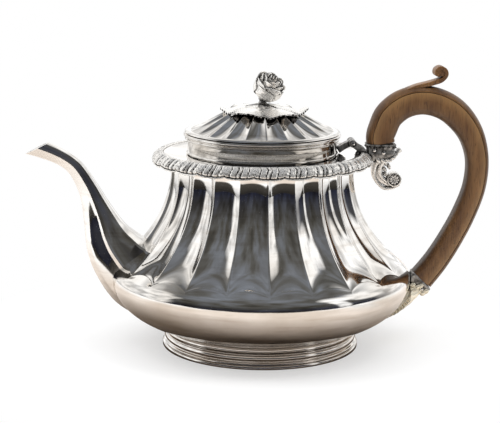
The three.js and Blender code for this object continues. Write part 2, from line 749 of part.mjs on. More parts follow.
// The cast arm from the neck, through the border, to the upper socket.
function makeBracket() {
  const outline = [
    point(neckRadius - 4, bracketTopZ - 9), point(neckRadius + 4.5, bracketTopZ - 8.4),
    point(socketFront + 1, socketFloor - 4), point(socketFront + 4, socketFloor),
    point(socketFront, socketFloor), point(socketFront, bracketTopZ), point(neckRadius - 4, bracketTopZ),
  ];
  return toGeometry(toSolid(slab(outline, bracketWidth)).subtract(bodyCore(joinGap)));
}

// A scroll of leaf hanging from the socket and curling round its rosette.
const scrollCentre = upperJoint.clone().add(point(8.7, -22.6));

function makeScroll() {
  const half = scrollThickness / 2;
  const start = point(upperJoint.x - 0.2, socketFloor - half * 0.35);
  const path = [
    start, start.clone().add(point(-1.4, -4.6)), start.clone().add(point(-1, -9.6)),
    start.clone().add(point(2, -14)), start.clone().add(point(6.8, -16.4)),
  ];
  const outline = strip(path, [half * 1.3, half * 1.1, half, half * 0.9, half * 0.7], 12);
  const clear = rodAlongY(rosetteRadius + joinGap, 30, scrollCentre.x, scrollCentre.y, 16);
  return toGeometry(toSolid(slab(outline, scrollWidth)).subtract(toSolid(clear)));
}

function makeRosette() {
  return rodAlongY(rosetteRadius, scrollWidth, scrollCentre.x, scrollCentre.y, 16);
}

// The small leaf that curls out behind the upper socket.
function makeSocketLeaf() {
  const at = upperJoint.clone().add(point(handleWidth / 2 + joinGap, -4));
  const outline = curve([
    at, at.clone().add(point(2.6, 0.8)), at.clone().add(point(3.4, -2)),
    at.clone().add(point(1.6, -4.6)), at.clone().add(point(0, -4)),
  ], 8);
  return slab(outline, 7);
}

// The leaf below the lower socket, lying on the curve of the bowl.
function makeLowerLeaf() {
  const geometry = new THREE.BoxGeometry(1, 1, 1, 8, 1, 8);
  const spots = geometry.attributes.position;
  const topZ = lowerJoint.y - 6.6;
  const length = topZ - footHeight - 2;
  for (let i = 0; i < spots.count; i += 1) {
    const down = 0.5 - spots.getZ(i);
    const z = topZ - down * length;
    const half = 11 + 9 * Math.sin(Math.PI * down ** 0.8) * (1 - down * 0.3);
    const turn = Math.PI / 2 + (spots.getX(i) * 2 * half) / bowlRadius;
    const bulge = (1 - (2 * spots.getX(i)) ** 2) * (3.6 - 2.4 * down);
    const radius = bowlRadiusAt(z) + 2 * joinGap + (spots.getY(i) > 0 ? 1.4 + bulge : 0);
    spots.setXYZ(i, radius * Math.sin(turn), -radius * Math.cos(turn), z);
  }
  return toGeometry(toSolid(geometry).subtract(bodyCore(joinGap)));
}

addPart('bowl_shell', makeBowl(), silver);
addPart('waist_shell', makeWaist(), silver);
addPart('foot_ring', makeFootRing(), silver);
addPart('base_disc', makeBaseDisc(), silver);
addPart('mouth_plate', makeMouthPlate(), silver);
addPart('cast_border', makeBorder(), silver);
addPart('spout', makeSpout(), silver);
addPart('lid_dome', makeDome(), silver);
addPart('lid_band', makeLidBand(), silver);
addPart('lid_bezel', makeBezel(), silver);
addPart('finial_leaves', makeLeaves(), darkSilver);
addPart('finial_stem', makeStem(), darkSilver);
addPart('finial_rose', makeRose(), darkSilver);
addPart('finial_stud', makeStud(), silver);
addPart('finial_washer', makeWasher(), silver);
addPart('finial_nut', makeNut(), silver);
addPart('hinge_lid_strap', makeLidStrap(), darkSilver);
addPart('hinge_body_strap', makeBodyStrap(), darkSilver);
addPart('hinge_pin', makeHingePin(), silver);
addPart('handle_wood', makeHandle(), fruitwood);
addPart('upper_socket', makeUpperSocket(), darkSilver);
addPart('handle_bracket', makeBracket(), darkSilver);
addPart('socket_scroll', makeScroll(), darkSilver);
addPart('scroll_rosette', makeRosette(), darkSilver);
addPart('socket_leaf', makeSocketLeaf(), darkSilver);
addPart('lower_socket', makeLowerSocket(), darkSilver);
addPart('lower_leaf', makeLowerLeaf(), silver);
upperPins.forEach((place, i) => addPart(`upper_pin_${i + 1}`, handlePinAt(place), silver));
addPart('lower_pin', handlePinAt(lowerPin), silver);

export default teapot;
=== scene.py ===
from math import atan2, cos, exp, floor, hypot, pi, radians, sin, sqrt, tau

import bmesh
import bpy
from mathutils import Matrix, Vector


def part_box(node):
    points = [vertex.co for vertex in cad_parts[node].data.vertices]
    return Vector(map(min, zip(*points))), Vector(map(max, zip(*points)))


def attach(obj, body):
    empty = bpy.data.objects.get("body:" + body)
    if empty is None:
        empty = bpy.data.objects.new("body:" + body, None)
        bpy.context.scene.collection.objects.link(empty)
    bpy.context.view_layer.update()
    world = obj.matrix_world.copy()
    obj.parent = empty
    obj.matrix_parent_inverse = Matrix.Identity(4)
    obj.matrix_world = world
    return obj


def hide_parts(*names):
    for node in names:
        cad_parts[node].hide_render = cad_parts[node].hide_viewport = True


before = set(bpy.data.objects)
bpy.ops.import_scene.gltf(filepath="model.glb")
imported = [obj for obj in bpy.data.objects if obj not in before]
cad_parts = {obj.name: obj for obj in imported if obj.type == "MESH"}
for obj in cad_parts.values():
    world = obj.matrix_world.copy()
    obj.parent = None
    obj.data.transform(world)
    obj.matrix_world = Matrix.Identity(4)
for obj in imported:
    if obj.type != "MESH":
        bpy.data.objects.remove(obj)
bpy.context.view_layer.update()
scene = bpy.context.scene
print("frame loaded")

# Shapes are worked out in millimetres and brought to metres when a piece is finished.
mm = 0.001


def cad(nodeName):
    low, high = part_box(nodeName)
    return low / mm, high / mm


def linear(hexColour):
    channels = [((hexColour >> shift) & 255) / 255 for shift in (16, 8, 0)]
    return (*[c / 12.92 if c < 0.04045 else ((c + 0.055) / 1.055) ** 2.4 for c in channels], 1)


def clamp(value, low=0.0, high=1.0):
    return max(low, min(high, value))


def smooth(low, high, value):
    t = clamp((value - low) / (high - low))
    return t * t * (3 - 2 * t)


def bump(value, width):
    return exp(-(value / width) ** 2)


def spline(points, t):
    # a smooth line through given points of any size; t runs from 0 to 1
    spans = len(points) - 1
    i = min(int(clamp(t) * spans), spans - 1)
    f = clamp(t) * spans - i
    a, b, c, d = [points[clamp(j, 0, spans)] for j in (i - 1, i, i + 1, i + 2)]
    return [
        0.5 * (2 * q + f * (r - p) + f * f * (2 * p - 5 * q + 4 * r - s) + f ** 3 * (3 * q - p - 3 * r + s))
        for p, q, r, s in zip(a, b, c, d)
    ]


def addNode(tree, kind, inputs=(), out=0, **settings):
    # inputs are listed in order or by name; each is a fixed value or the output of another node
    made = tree.nodes.new("ShaderNode" + kind)
    for key, value in settings.items():
        setattr(made, key, value)
    for key, value in inputs.items() if isinstance(inputs, dict) else enumerate(inputs):
        if isinstance(value, bpy.types.NodeSocket):
            tree.links.new(value, made.inputs[key])
        else:
            made.inputs[key].default_value = value
    return made.outputs[out]


asColour = dict(out=2, data_type="RGBA")  # makes a Mix node blend its colours, inputs 6 and 7


def startMaterial(name, **shaderValues):
    material = bpy.data.materials.new(name)
    material.use_nodes = True
    tree = material.node_tree
    shader = tree.nodes["Principled BSDF"]
    for key, value in shaderValues.items():
        shader.inputs[key.replace("_", " ")].default_value = value
    return material, tree, shader, addNode(tree, "TexCoord", out="Object")


def mottle(tree, place, size, detail=3.0, stretch=(1, 1, 1), roughness=0.5):
    # an uneven pattern; size is the real width of one blotch or grain, in millimetres
    sized = addNode(tree, "Mapping", {"Scale": [s / (size * mm) for s in stretch], "Vector": place})
    return addNode(tree, "TexNoise", {"Scale": 1.0, "Detail": detail, "Roughness": roughness,
                                      "Vector": sized})


def stackBumps(tree, shader, layers):
    # each layer is (height, depth in millimetres)
    below = {}
    for height, depth in layers:
        below = {"Normal": addNode(tree, "Bump", {"Strength": 1.0, "Distance": depth * mm,
                                                  "Height": height} | below)}
    tree.links.new(below["Normal"], shader.inputs["Normal"])


silverLook = dict(
    bright=0xEDEBE8, tarnished=0xD8D3CC, streaked=0xBDB3A8, streakSize=30,
    tarnishSize=38, hammerSize=19, hammerDepth=0.11, scratchSize=0.5, scratchDepth=0.0016,
    streakDepth=0.008, wearSize=22, polish=(0.035, 0.1),
)


def polishedSilver(look):
    # sterling sheet, raised with a hammer and hand polished: faint waves in the reflections,
    # hairline wear and a warm bloom of tarnish
    material, tree, shader, place = startMaterial("polished_silver", Metallic=1.0)
    bloom = mottle(tree, place, look["tarnishSize"], 5)
    dulled = addNode(tree, "MapRange", [bloom, 0.4, 0.68, 0, 1])
    clouded = addNode(tree, "Mix", {0: dulled, 6: linear(look["bright"]), 7: linear(look["tarnished"])},
                      **asColour)
    streak = mottle(tree, place, look["streakSize"], 4, stretch=(1, 1, 9))
    hammer = mottle(tree, place, look["hammerSize"], 1)
    wiped = addNode(tree, "MapRange", [streak, 0.5, 0.72, 0, 0.45])
    tone = addNode(tree, "Mix", {0: wiped, 6: clouded, 7: linear(look["streaked"])}, **asColour)
    tree.links.new(tone, shader.inputs["Base Color"])
    hair = mottle(tree, place, look["scratchSize"], 2, stretch=(1, 1, 0.12))
    cross = mottle(tree, place, look["scratchSize"], 2, stretch=(0.1, 0.1, 1))
    wear = mottle(tree, place, look["wearSize"], 6, roughness=0.7)
    tree.links.new(addNode(tree, "MapRange", [wear, 0.3, 0.75, *look["polish"]]),
                   shader.inputs["Roughness"])
    stackBumps(tree, shader, [
        (hammer, look["hammerDepth"]), (streak, look["streakDepth"]), (hair, look["scratchDepth"]),
        (cross, look["scratchDepth"]),
    ])
    return material


castLook = dict(metal=0.8, bright=0xF4F1EC, oxide=0x1E1B19, reach=1.5, blotchSize=3.2, grainSize=0.7,
                grainDepth=0.01, oxidation=0.0)
darkLook = castLook | dict(oxidation=0.26)
# the leaf's copy: a yellower tone of its own, with lighter oxide and less of it as painted light for a part
# lit from the front
leafLook = castLook | dict(metal=0.55, bright=0xF5ECD6, oxide=0x4A3F30, oxidation=-0.06)


def castSilver(look, name):
    # cast and chased silver: frosty from the pickle, so it scatters a little light like white metal,
    # with burnished high parts and black sulphide left in the hollows
    material, tree, shader, place = startMaterial(name, Metallic=look["metal"])
    exposed = addNode(tree, "AmbientOcclusion", {"Distance": look["reach"] * mm}, out="AO", samples=8)
    blotch = addNode(tree, "MapRange", [mottle(tree, place, look["blotchSize"], 4), 0.3, 0.7, 0.44, 0.62])
    clean = addNode(tree, "Math", [exposed, blotch, 0.2 - look["oxidation"]], operation="MULTIPLY_ADD")
    # pieces that carry a "hollow" value are also blackened wherever it is high
    hollow = addNode(tree, "Attribute", out="Fac", attribute_name="hollow")
    rubbed = addNode(tree, "Math", [clean, hollow], operation="SUBTRACT")
    kept = addNode(tree, "MapRange", [rubbed, 0.36, 0.62, 0, 1])
    tone = addNode(tree, "Mix", {0: kept, 6: linear(look["oxide"]), 7: linear(look["bright"])},
                   **asColour)
    tree.links.new(tone, shader.inputs["Base Color"])
    tree.links.new(addNode(tree, "MapRange", [kept, 0, 1, 0.6, 0.27]), shader.inputs["Roughness"])
    stackBumps(tree, shader, [(mottle(tree, place, look["grainSize"], 3), look["grainDepth"])])
    return material


woodLook = dict(
    # the darkest brown is also painted shade, and the light tan a painted highlight
    light=0x8A6238, mid=0x684526, dark=0x3A2716, worn=0x241A12, rubbed=0xB08A5C,
    fibreSize=0.55, bandSize=7.0, fleckSize=0.9, poreDepth=0.03, grimeReach=1.5,
)


def waxedFruitwood(look):
    # pear or box sawn from a plank, so its straight grain stands upright whatever way the handle bends;
    # oiled by hands, with short dark pores
    material, tree, shader, place = startMaterial("waxed_fruitwood", IOR=1.5)
    light, mid, dark, worn, rubbed = [linear(look[k]) for k in ("light", "mid", "dark", "worn", "rubbed")]
    bands = mottle(tree, place, look["bandSize"], 4, stretch=(1, 1, 0.16))
    fibres = mottle(tree, place, look["fibreSize"], 4, stretch=(1, 1, 0.06), roughness=0.7)
    flecks = mottle(tree, place, look["fleckSize"], 2, stretch=(1, 1, 0.18))
    tone = addNode(tree, "Mix", {0: addNode(tree, "MapRange", [bands, 0.35, 0.68, 0, 1]), 6: mid,
                                 7: light}, **asColour)
    exposed = addNode(tree, "AmbientOcclusion", {"Distance": look["grimeReach"] * mm}, out="AO",
                      samples=6)
    handled = addNode(tree, "Attribute", out="Fac", attribute_name="handled")
    # fibres, pores, painted shade at the inner edge, in the quirk and on the strip, a painted highlight
    # along the face's edge by the quirk, and painted shade in the corners
    for source, low, high, most, colour in (
        (fibres, 0.46, 0.74, 0.75, dark), (flecks, 0.62, 0.72, 0.7, dark), (handled, 0, 1, 0.8, worn),
        (handled, 0, -1, 0.6, rubbed),
    ):
        share = addNode(tree, "MapRange", [source, low, high, 0, most])
        tone = addNode(tree, "Mix", {0: share, 6: tone, 7: colour}, **asColour)
    # painted shade: darker brown in the corners that the ambient occlusion finds
    grime = addNode(tree, "MapRange", [exposed, 0.35, 0.85, 1, 0])
    tone = addNode(tree, "Mix", {0: grime, 6: tone, 7: worn}, **asColour)
    tree.links.new(tone, shader.inputs["Base Color"])
    tree.links.new(addNode(tree, "MapRange", [fibres, 0.3, 0.7, 0.34, 0.5]), shader.inputs["Roughness"])
    stackBumps(tree, shader, [(fibres, look["poreDepth"])])
    return material


silver = polishedSilver(silverLook)
cast = castSilver(castLook, "cast_silver")
darkCast = castSilver(darkLook, "dark_cast_silver")
yellowCast = castSilver(leafLook, "lit_yellowed_cast_silver")
wood = waxedFruitwood(woodLook)
print("materials made")


mergeGap = 0.004  # points closer than this, in millimetres, become one
# stand-ins for a radius or a height, which tell the outside from the inside until a shape is worked out
outerMark, betweenMarks, innerMark = 200, 150, 100


def finishPiece(bm, name, body, material, nodes=(), sharp=40):
    bmesh.ops.remove_doubles(bm, verts=bm.verts, dist=mergeGap)
    bmesh.ops.recalc_face_normals(bm, faces=bm.faces)
    bmesh.ops.scale(bm, vec=(mm, mm, mm), verts=bm.verts)
    for face in bm.faces:
        face.smooth = True
    for edge in bm.edges:
        edge.smooth = not edge.is_manifold or edge.calc_face_angle(0) < radians(sharp)
    mesh = bpy.data.meshes.new(name)
    bm.to_mesh(mesh)
    bm.free()
    piece = bpy.data.objects.new(name, mesh)
    scene.collection.objects.link(piece)
    mesh.materials.append(material)
    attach(piece, body)
    if nodes:
        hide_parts(*nodes)
    return piece


def spun(bm, profile, steps, closed=True):
    # a profile of (radius, height) turned about the upright axis
    verts = [bm.verts.new((radius, 0, z)) for radius, z in profile]
    edges = [bm.edges.new(pair) for pair in zip(verts, verts[1:])]
    if closed:
        edges.append(bm.edges.new((verts[-1], verts[0])))
    bmesh.ops.spin(bm, geom=verts + edges, cent=(0, 0, 0), axis=(0, 0, 1), angle=tau, steps=steps,
                   use_merge=True)


def loft(bm, rings, loop=False, marks=None):
    # each ring is a list of points; neighbours are bridged, and the ends are capped unless they meet
    loops = []
    layer = bm.verts.layers.float.new("handled") if marks else None
    for ring in rings:
        made = bmesh.ops.create_circle(bm, segments=len(ring), radius=1)
        for vert, place in zip(made["verts"], ring):
            vert.co = place
        if marks:
            for vert, mark in zip(made["verts"], marks):
                vert[layer] = mark
        edges = {e for v in made["verts"] for e in v.link_edges}
        loops.append(list(edges))
    pairs = list(zip(loops, loops[1:])) + ([(loops[-1], loops[0])] if loop else [])
    for first, second in pairs:
        bmesh.ops.bridge_loops(bm, edges=first + second)
    if not loop:
        for edges in (loops[0], loops[-1]):
            bmesh.ops.contextual_create(bm, geom=edges)


def barSection(halfWidth, halfDepth, corner, perCorner=3):
    # a rounded rectangle, as (across, along Y)
    points = []
    for turn, (sx, sy) in enumerate(((1, 1), (-1, 1), (-1, -1), (1, -1))):
        for k in range(perCorner + 1):
            angle = (turn + k / perCorner) * pi / 2
            points.append((sx * (halfWidth - corner) + corner * cos(angle),
                           sy * (halfDepth - corner) + corner * sin(angle)))
    return points


def sweep(bm, path, steps, section, marks=None):
    # path points are (x, z); section(t) gives points (across, y); the bar lies in the plane y = 0
    rings = []
    for i in range(steps + 1):
        t = i / steps
        here = spline(path, t)
        ahead = Vector(spline(path, min(1, t + 0.004))) - Vector(spline(path, max(0, t - 0.004)))
        side = Vector((ahead[1], -ahead[0])).normalized()
        rings.append([(here[0] + side[0] * n, y, here[1] + side[1] * n) for n, y in section(t)])
    loft(bm, rings, marks=marks)


def cylinder(bm, radius, length, x, y, z, segments):
    # a round bar lying along Y
    matrix = Matrix.Translation((x, y, z)) @ Matrix.Rotation(pi / 2, 4, "X")
    return bmesh.ops.create_cone(bm, cap_ends=True, segments=segments, radius1=radius, radius2=radius,
                                 depth=length, matrix=matrix)["verts"]


def ball(bm, size, place, segments=16, turn=Matrix()):
    matrix = Matrix.Translation(place) @ turn @ Matrix.Diagonal((*size, 1))
    return bmesh.ops.create_uvsphere(bm, u_segments=segments, v_segments=max(8, segments // 2), radius=1,
                                     matrix=matrix)["verts"]


def roundEdges(bm, verts, offset, segments=2, angle=50):
    edges = {e for v in verts for e in v.link_edges if e.is_manifold}
    sharp = [e for e in edges if e.calc_face_angle(0) > radians(angle)]
    bmesh.ops.bevel(bm, geom=sharp, offset=offset, segments=segments, profile=0.5, affect="EDGES",
                    material=-1)


bowlLow, bowlHigh = cad("bowl_shell")
waistHigh = cad("waist_shell")[1]
body = dict(
    flutes=22, footZ=bowlLow.z, widestZ=bowlHigh.z - 3.7, widest=bowlHigh.y,
    fluteEndZ=bowlHigh.z + 3.9, neckZ=waistHigh.z - 5.8, topZ=waistHigh.z,
    bowlDepth=32, bowlCore=40.5,
    shoulderInset=20, shoulderHeight=12, neckRadius=56, power=2.2,
    fluteDepth=2.7, arris=0.035, flare=3.6, flareStart=109.5, wall=1.1, bead=0.08, beadWidth=0.6,
    scallop=2.9, scoop=8.5, fadeStart=112.5,
    columnsPerFlute=20,
)


def panelPlace(turn, flutes):
    # -1 and 1 on the ridges, 0 in the middle of a panel
    across = turn * flutes / tau
    return 2 * (across - floor(across)) - 1


def hollowAt(u, arris):
    # 0 on a slightly rounded ridge, 1 in the middle of the hollow
    edge = 1 - abs(u)
    soft = (sqrt(edge * edge + arris * arris) - arris) / (sqrt(1 + arris * arris) - arris)
    return 2 * soft - soft * soft


def shoulderRadius(z):
    climb = clamp((z - body["widestZ"]) / body["shoulderHeight"])
    return body["widest"] - body["shoulderInset"] * (1 - sqrt(1 - climb * climb))


def bowlRadius(z):
    drop = clamp((body["widestZ"] - z) / body["bowlDepth"])
    return body["bowlCore"] + (body["widest"] - body["bowlCore"]) * sqrt(1 - drop * drop)


def envelopeRadius(z):
    # the ridge line of the flutes, carried on down as the smooth shoulder and bowl
    start, top = body["fluteEndZ"], body["neckZ"]
    if z <= body["widestZ"]:
        return bowlRadius(z)
    if z <= start:
        return shoulderRadius(z)
    climb = clamp((z - start) / (top - start))
    ridge = body["neckRadius"] + (shoulderRadius(start) - body["neckRadius"]) * (1 - climb) ** body["power"]
    flared = clamp((z - body["flareStart"]) / (body["topZ"] - body["flareStart"]))
    return ridge + body["flare"] * flared ** 2.4


def creaseHeight(u):
    # the scalloped line where each hollow begins, lowest on the ridges
    return body["fluteEndZ"] + body["scallop"] * (1 - abs(u) ** 2.2)


def fluteHollow(z, u):
    above = 1 - (1 - clamp((z - creaseHeight(u)) / body["scoop"])) ** 2
    fade = 1 - smooth(body["fadeStart"], body["topZ"] - 0.3, z)
    return body["fluteDepth"] * above * fade * hollowAt(u, body["arris"])


def makeBody():
    bm = bmesh.new()
    start, widestZ, topZ = body["fluteEndZ"], body["widestZ"], body["topZ"]
    bowlRows = [body["footZ"] + (widestZ - body["footZ"]) * (1 - (1 - i / 22) ** 1.4) for i in range(23)]
    shoulderRows = [widestZ + (start - widestZ) * k for k in (0.18, 0.36, 0.52, 0.66, 0.76, 0.84, 0.9,
                                                              0.94, 0.97, 1)]
    fluteRows = [start + (topZ - start) * k for k in (0.003, 0.007, 0.012, 0.018, 0.026, 0.035)]
    fluteRows += [start + (topZ - start) * (0.045 + 0.955 * i / 46) for i in range(47)]
    outer = bowlRows + shoulderRows + fluteRows
    inner = [topZ - (topZ - body["footZ"]) * i / 26 for i in range(27)]
    columns = body["flutes"] * body["columnsPerFlute"]
    spun(bm, [(outerMark, z) for z in outer] + [(innerMark, z) for z in inner], columns)
    for vert in bm.verts:
        outside = hypot(vert.co.x, vert.co.y) > betweenMarks
        turn = atan2(vert.co.x, -vert.co.y)
        u = panelPlace(turn, body["flutes"])
        panel = turn - u * pi / body["flutes"]
        u = (1 if u >= 0 else -1) * (1 - (1 - abs(u)) ** 1.7)
        turn = panel + u * pi / body["flutes"]
        crease, z = creaseHeight(u), vert.co.z
        if z > start:
            z = crease + (z - start) * (topZ - crease) / (topZ - start)
        elif z > widestZ:
            z = widestZ + (z - widestZ) * (crease - widestZ) / (start - widestZ)
        radius = envelopeRadius(z) - fluteHollow(z, u)
        radius += body["bead"] * bump(z - crease, body["beadWidth"]) if outside else -body["wall"]
        vert.co = (radius * sin(turn), -radius * cos(turn), z)
    finishPiece(bm, "body_shell", "teapot", silver, ("bowl_shell", "waist_shell"), 60)


makeBody()

footHigh = cad("foot_ring")[1]
foot = dict(
    outer=[(0, 0), (0, 1.5), (-0.25, 1.95), (-0.9, 2.3), (-1.5, 2.5), (-1.55, 2.8), (-0.95, 3.1),
           (-0.8, 3.45),
           (-1.0, 3.8), (-1.7, 4.05), (-1.95, 4.35), (-1.7, 4.7), (-1.45, 5.4), (-1.4, 6.1), (-1.6, 6.9),
           (-2.1, 7.45), (-2.35, 7.7), (-2.25, 8.0), (-1.4, 8.25), (-1.15, 8.65), (-1.35, 9.05),
           (-2.1, 9.35),
           (-2.7, 9.8), (-2.95, 10.4), (-2.95, 11.0), (-2.55, 11.2), (-2.5, 11.55), (-2.95, 11.8),
           (-2.9, 12.4),
           (-2.4, 13.0), (-2.2, 13.25)],
    lip=4.2, wall=1.4,
)


def makeFoot():
    bm = bmesh.new()
    outer = [(footHigh.x + inset, z) for inset, z in foot["outer"]]
    innerTop = outer[-1][0] - foot["wall"]
    inner = [(innerTop, outer[-1][1]), (innerTop - 0.8, 9), (footHigh.x - foot["lip"], 4),
             (footHigh.x - foot["lip"], 0)]
    spun(bm, outer + inner, 192)
    finishPiece(bm, "foot_moulding", "teapot", silver, ("foot_ring",), 50)


makeFoot()

plateLow, plateHigh = cad("mouth_plate")
plate = dict(mouth=41.5, dishStart=46.8, dish=1.0, wall=1.1)


def makePlate():
    bm = bmesh.new()
    edge, top, low = plateHigh.x + 0.15, plateHigh.z, plateHigh.z - plate["dish"]
    profile = [
        (edge, plateLow.z), (edge, top - 0.25), (edge - 0.3, top), (edge - 1.6, top + 0.02),
        (edge - 2.2, top - 0.1),
        (edge - 6, top - 0.5), (plate["dishStart"] + 1.2, low + 0.12), (plate["dishStart"], low),
        (plate["mouth"] + 1.4, low),
        (plate["mouth"] + 0.7, low + 0.16), (plate["mouth"] + 0.15, low + 0.05),
        (plate["mouth"], low - 0.2),
        (plate["mouth"], low - plate["wall"]), (plate["dishStart"], low - plate["wall"]),
        (edge - 1.2, plateLow.z),
    ]
    spun(bm, profile, 192)
    finishPiece(bm, "mouth_plate_shelf", "teapot", silver, ("mouth_plate",), 50)


makePlate()
print("body made")

borderHigh = cad("cast_border")[1]
border = dict(
    motifs=24, inner=60.45, reach=borderHigh.y - 60.45 - 0.2, topZ=borderHigh.z + 0.1, drop=5.2, rows=30,
    columnsPerMotif=30, relief=1.45,
)


def gadroonRelief(u, v):
    # height of the chased pattern; u runs across one motif from -1 to 1, v from the inner to the outer edge
    swing = 0.10 * sin(tau * (v - 0.1))
    spine = 0.95 * bump(u - swing, 0.085)
    side = abs(u - swing * 0.6)
    lobe = sqrt(max(0, 1 - ((side - 0.38) / 0.21) ** 2))
    lobe *= 1 - 0.55 * bump(side - 0.36, 0.07) * smooth(1.0, 0.3, v)
    leafPlace = (side - 0.83) / 0.19
    leaf = 0.0
    if side > 0.62:
        ribs = 0.5 + 0.5 * cos((side - 1) * 42 + 9 * v)
        beads = 0.5 + 0.5 * cos(v * 34 + (side - 1) * 16)
        leaf = (0.62 + 0.38 * ribs * beads) * sqrt(max(0, 1 - min(1, abs(leafPlace) * 0.9) ** 2))
        leaf = max(leaf, 0.9 * bump(side - 1, 0.06))
    ends = smooth(0.0, 0.16, v) * (1 - smooth(0.8, 0.9, v))
    rim = 0.55 * bump(v - 0.955, 0.045) + 0.5 * bump(v - 0.03, 0.03)
    return max(spine, lobe * 0.9, leaf) * ends + rim


def makeBorder():
    bm = bmesh.new()
    rows, steps = border["rows"], border["motifs"] * border["columnsPerMotif"]
    face = [(outerMark, i / rows) for i in range(rows + 1)]
    back = [(innerMark, 1 - i / 6) for i in range(7)]
    spun(bm, face + back, steps)
    hollow = bm.verts.layers.float.new("hollow")
    for vert in bm.verts:
        outside = hypot(vert.co.x, vert.co.y) > betweenMarks
        turn = atan2(vert.co.x, -vert.co.y)
        v = vert.co.z
        u = panelPlace(turn + pi / border["motifs"], border["motifs"])
        bend = v * radians(97)
        radius = border["inner"] + border["reach"] * sin(bend) * 0.86
        z = border["topZ"] - border["drop"] * (1 - cos(bend))
        scallop = 0.85 * (1 - abs(u) ** 2.2) - 0.35 * bump(abs(u) - 1, 0.1)
        z -= scallop * v * v
        carved = gadroonRelief(u, v)
        vert[hollow] = 0.34 * (1 - smooth(0.1, 0.45, carved)) * smooth(0.02, 0.1, v) * smooth(1.0, 0.94,
                                                                                              v) * outside
        height = border["relief"] * carved if outside else -0.9
        if not outside and v < 0.2:
            height = -0.6
        radius += height * sin(bend * 0.95 + 0.12)
        z += height * cos(bend * 0.95 + 0.12) * 0.7
        vert.co = (radius * sin(turn), -radius * cos(turn), z)
    finishPiece(bm, "border_casting", "teapot", cast, ("cast_border",), 70)


makeBorder()
print("border made")

spout = dict(
    # centre x, centre z, half height, half width and lean of each section, from the root to the beak
    stations=[
        (-63.2, 39.2, 25, 24, 24), (-80, 46.3, 22, 20, 27), (-90.2, 57.7, 18, 15.5, 42),
        (-95.6, 67.6, 14.4, 12, 54),
        (-99.2, 79, 10.6, 9, 63), (-102.8, 89.6, 7.9, 7.2, 70), (-107, 99.6, 6.2, 6.1, 66),
        (-114.2, 110.9, 5.3, 5.3, 52),
        (-123.2, 117.3, 5.1, 4.8, 30), (-135.2, 122.3, 5.6, 4.6, 14), (-146, 125.8, 6.2, 4.4, 12),
    ],
    # half sections as (across, up), from the keel over the side rib to the middle of the top face:
    # near the beak the side below the rib faces the table, near the root it is hollowed
    beak=[(0, -1), (0.34, -0.88), (0.62, -0.66), (0.8, -0.38), (0.9, -0.2), (0.96, -0.06), (1.0, 0.02),
          (0.97, 0.12),
          (0.91, 0.4), (0.87, 0.74), (0.83, 0.81), (0.4, 0.92), (0, 0.98)],
    root=[(0, -1), (0.42, -0.94), (0.8, -0.72), (0.86, -0.62), (0.87, -0.36), (0.9, -0.08), (1.02, 0.04),
          (0.95, 0.14),
          (0.88, 0.46), (0.86, 0.8), (0.82, 0.86), (0.4, 0.95), (0, 1.01)],
    steps=56, start=0.05, wall=1.1, lip=(-145.7, 0, 118.0), lipSlope=0.5,
)


def spoutRing(t, inset):
    x, z, tall, wide, lean = spline(spout["stations"], t)
    lean = radians(lean)
    hollowed = 1 - smooth(0.3, 0.62, t)
    half = [
        (a + (c - a) * hollowed, b + (d - b) * hollowed) for (a, b),
        (c, d) in zip(spout["beak"], spout["root"])
    ]
    outline = half + [(-across, up) for across, up in half[-2:0:-1]]
    ring = []
    for across, up in outline:
        y = across * (wide - inset)
        rise = up * (tall - inset)
        ring.append((x + rise * sin(lean), y, z + rise * cos(lean)))
    return ring


def makeSpout():
    bm = bmesh.new()
    steps = spout["steps"]
    start = spout["start"]
    outer = [spoutRing(start + (1 - start) * i / steps, 0) for i in range(steps + 1)]
    inner = [spoutRing(start + (1 - start) * i / steps, spout["wall"]) for i in range(steps, -1, -1)]
    loft(bm, outer + inner, loop=True)
    # the beak opens upwards along a slanted cut
    bmesh.ops.bisect_plane(bm, geom=bm.verts[:] + bm.edges[:] + bm.faces[:], dist=0.0001,
                           plane_co=spout["lip"], plane_no=(-spout["lipSlope"], 0, 1), clear_outer=True)
    bmesh.ops.holes_fill(bm, edges=[e for e in bm.edges if e.is_boundary])
    finishPiece(bm, "spout_casting", "teapot", silver, ("spout",), 26)


makeSpout()
print("spout made")

bandLow, bandHigh = cad("lid_band")
domeLow = cad("lid_dome")[0]
lid = dict(
    flutes=22, rim=bandHigh.x, columnsPerFlute=18, domeRise=14.6, topRadius=8.0,
    fluteDepth=1.75, arris=0.05, roll=1.7, wall=0.9,
    band=[(-2.35, 0), (-1.75, 0.25), (-1.65, 0.9), (-2.0, 1.3), (-2.45, 1.55), (-2.5, 2.2), (-2.45, 5.0),
          (-2.35, 7.4), (-2.0, 8.2), (-1.35, 8.7), (-0.85, 8.95), (-0.75, 9.3), (-0.95, 9.6), (-1.6, 9.8),
          (-1.7, 10.0),
          (-1.0, 10.3), (-0.25, 10.9), (0, 11.5), (-0.25, 12.1), (-0.9, 12.55)],
)


def ridgeHeight(radius):
    # the dome's ridge line, from its edge to the crown
    outer = lid["rim"] - 1.7
    t = clamp((outer - radius) / (outer - lid["topRadius"]))
    return domeLow.z + 0.2 + lid["domeRise"] * t * (1 + 0.35 * sin(pi * t))


def domeHeight(radius, u):
    outer = lid["rim"] - 1.7
    out = clamp((radius - lid["topRadius"]) / (outer - lid["topRadius"]))
    hollow = lid["fluteDepth"] * sin(pi * clamp(out * 0.9 + 0.02)) ** 0.8 * hollowAt(u, lid["arris"])
    fluted = ridgeHeight(radius) - hollow
    over = (radius - (lid["rim"] - 3.0)) / 2.6
    roll = bandHigh.z - 0.1 + lid["roll"] * sqrt(max(0, 1 - over * over)) if abs(over) < 1 else 0
    return max(fluted, roll) if radius < lid["rim"] - 0.5 else roll


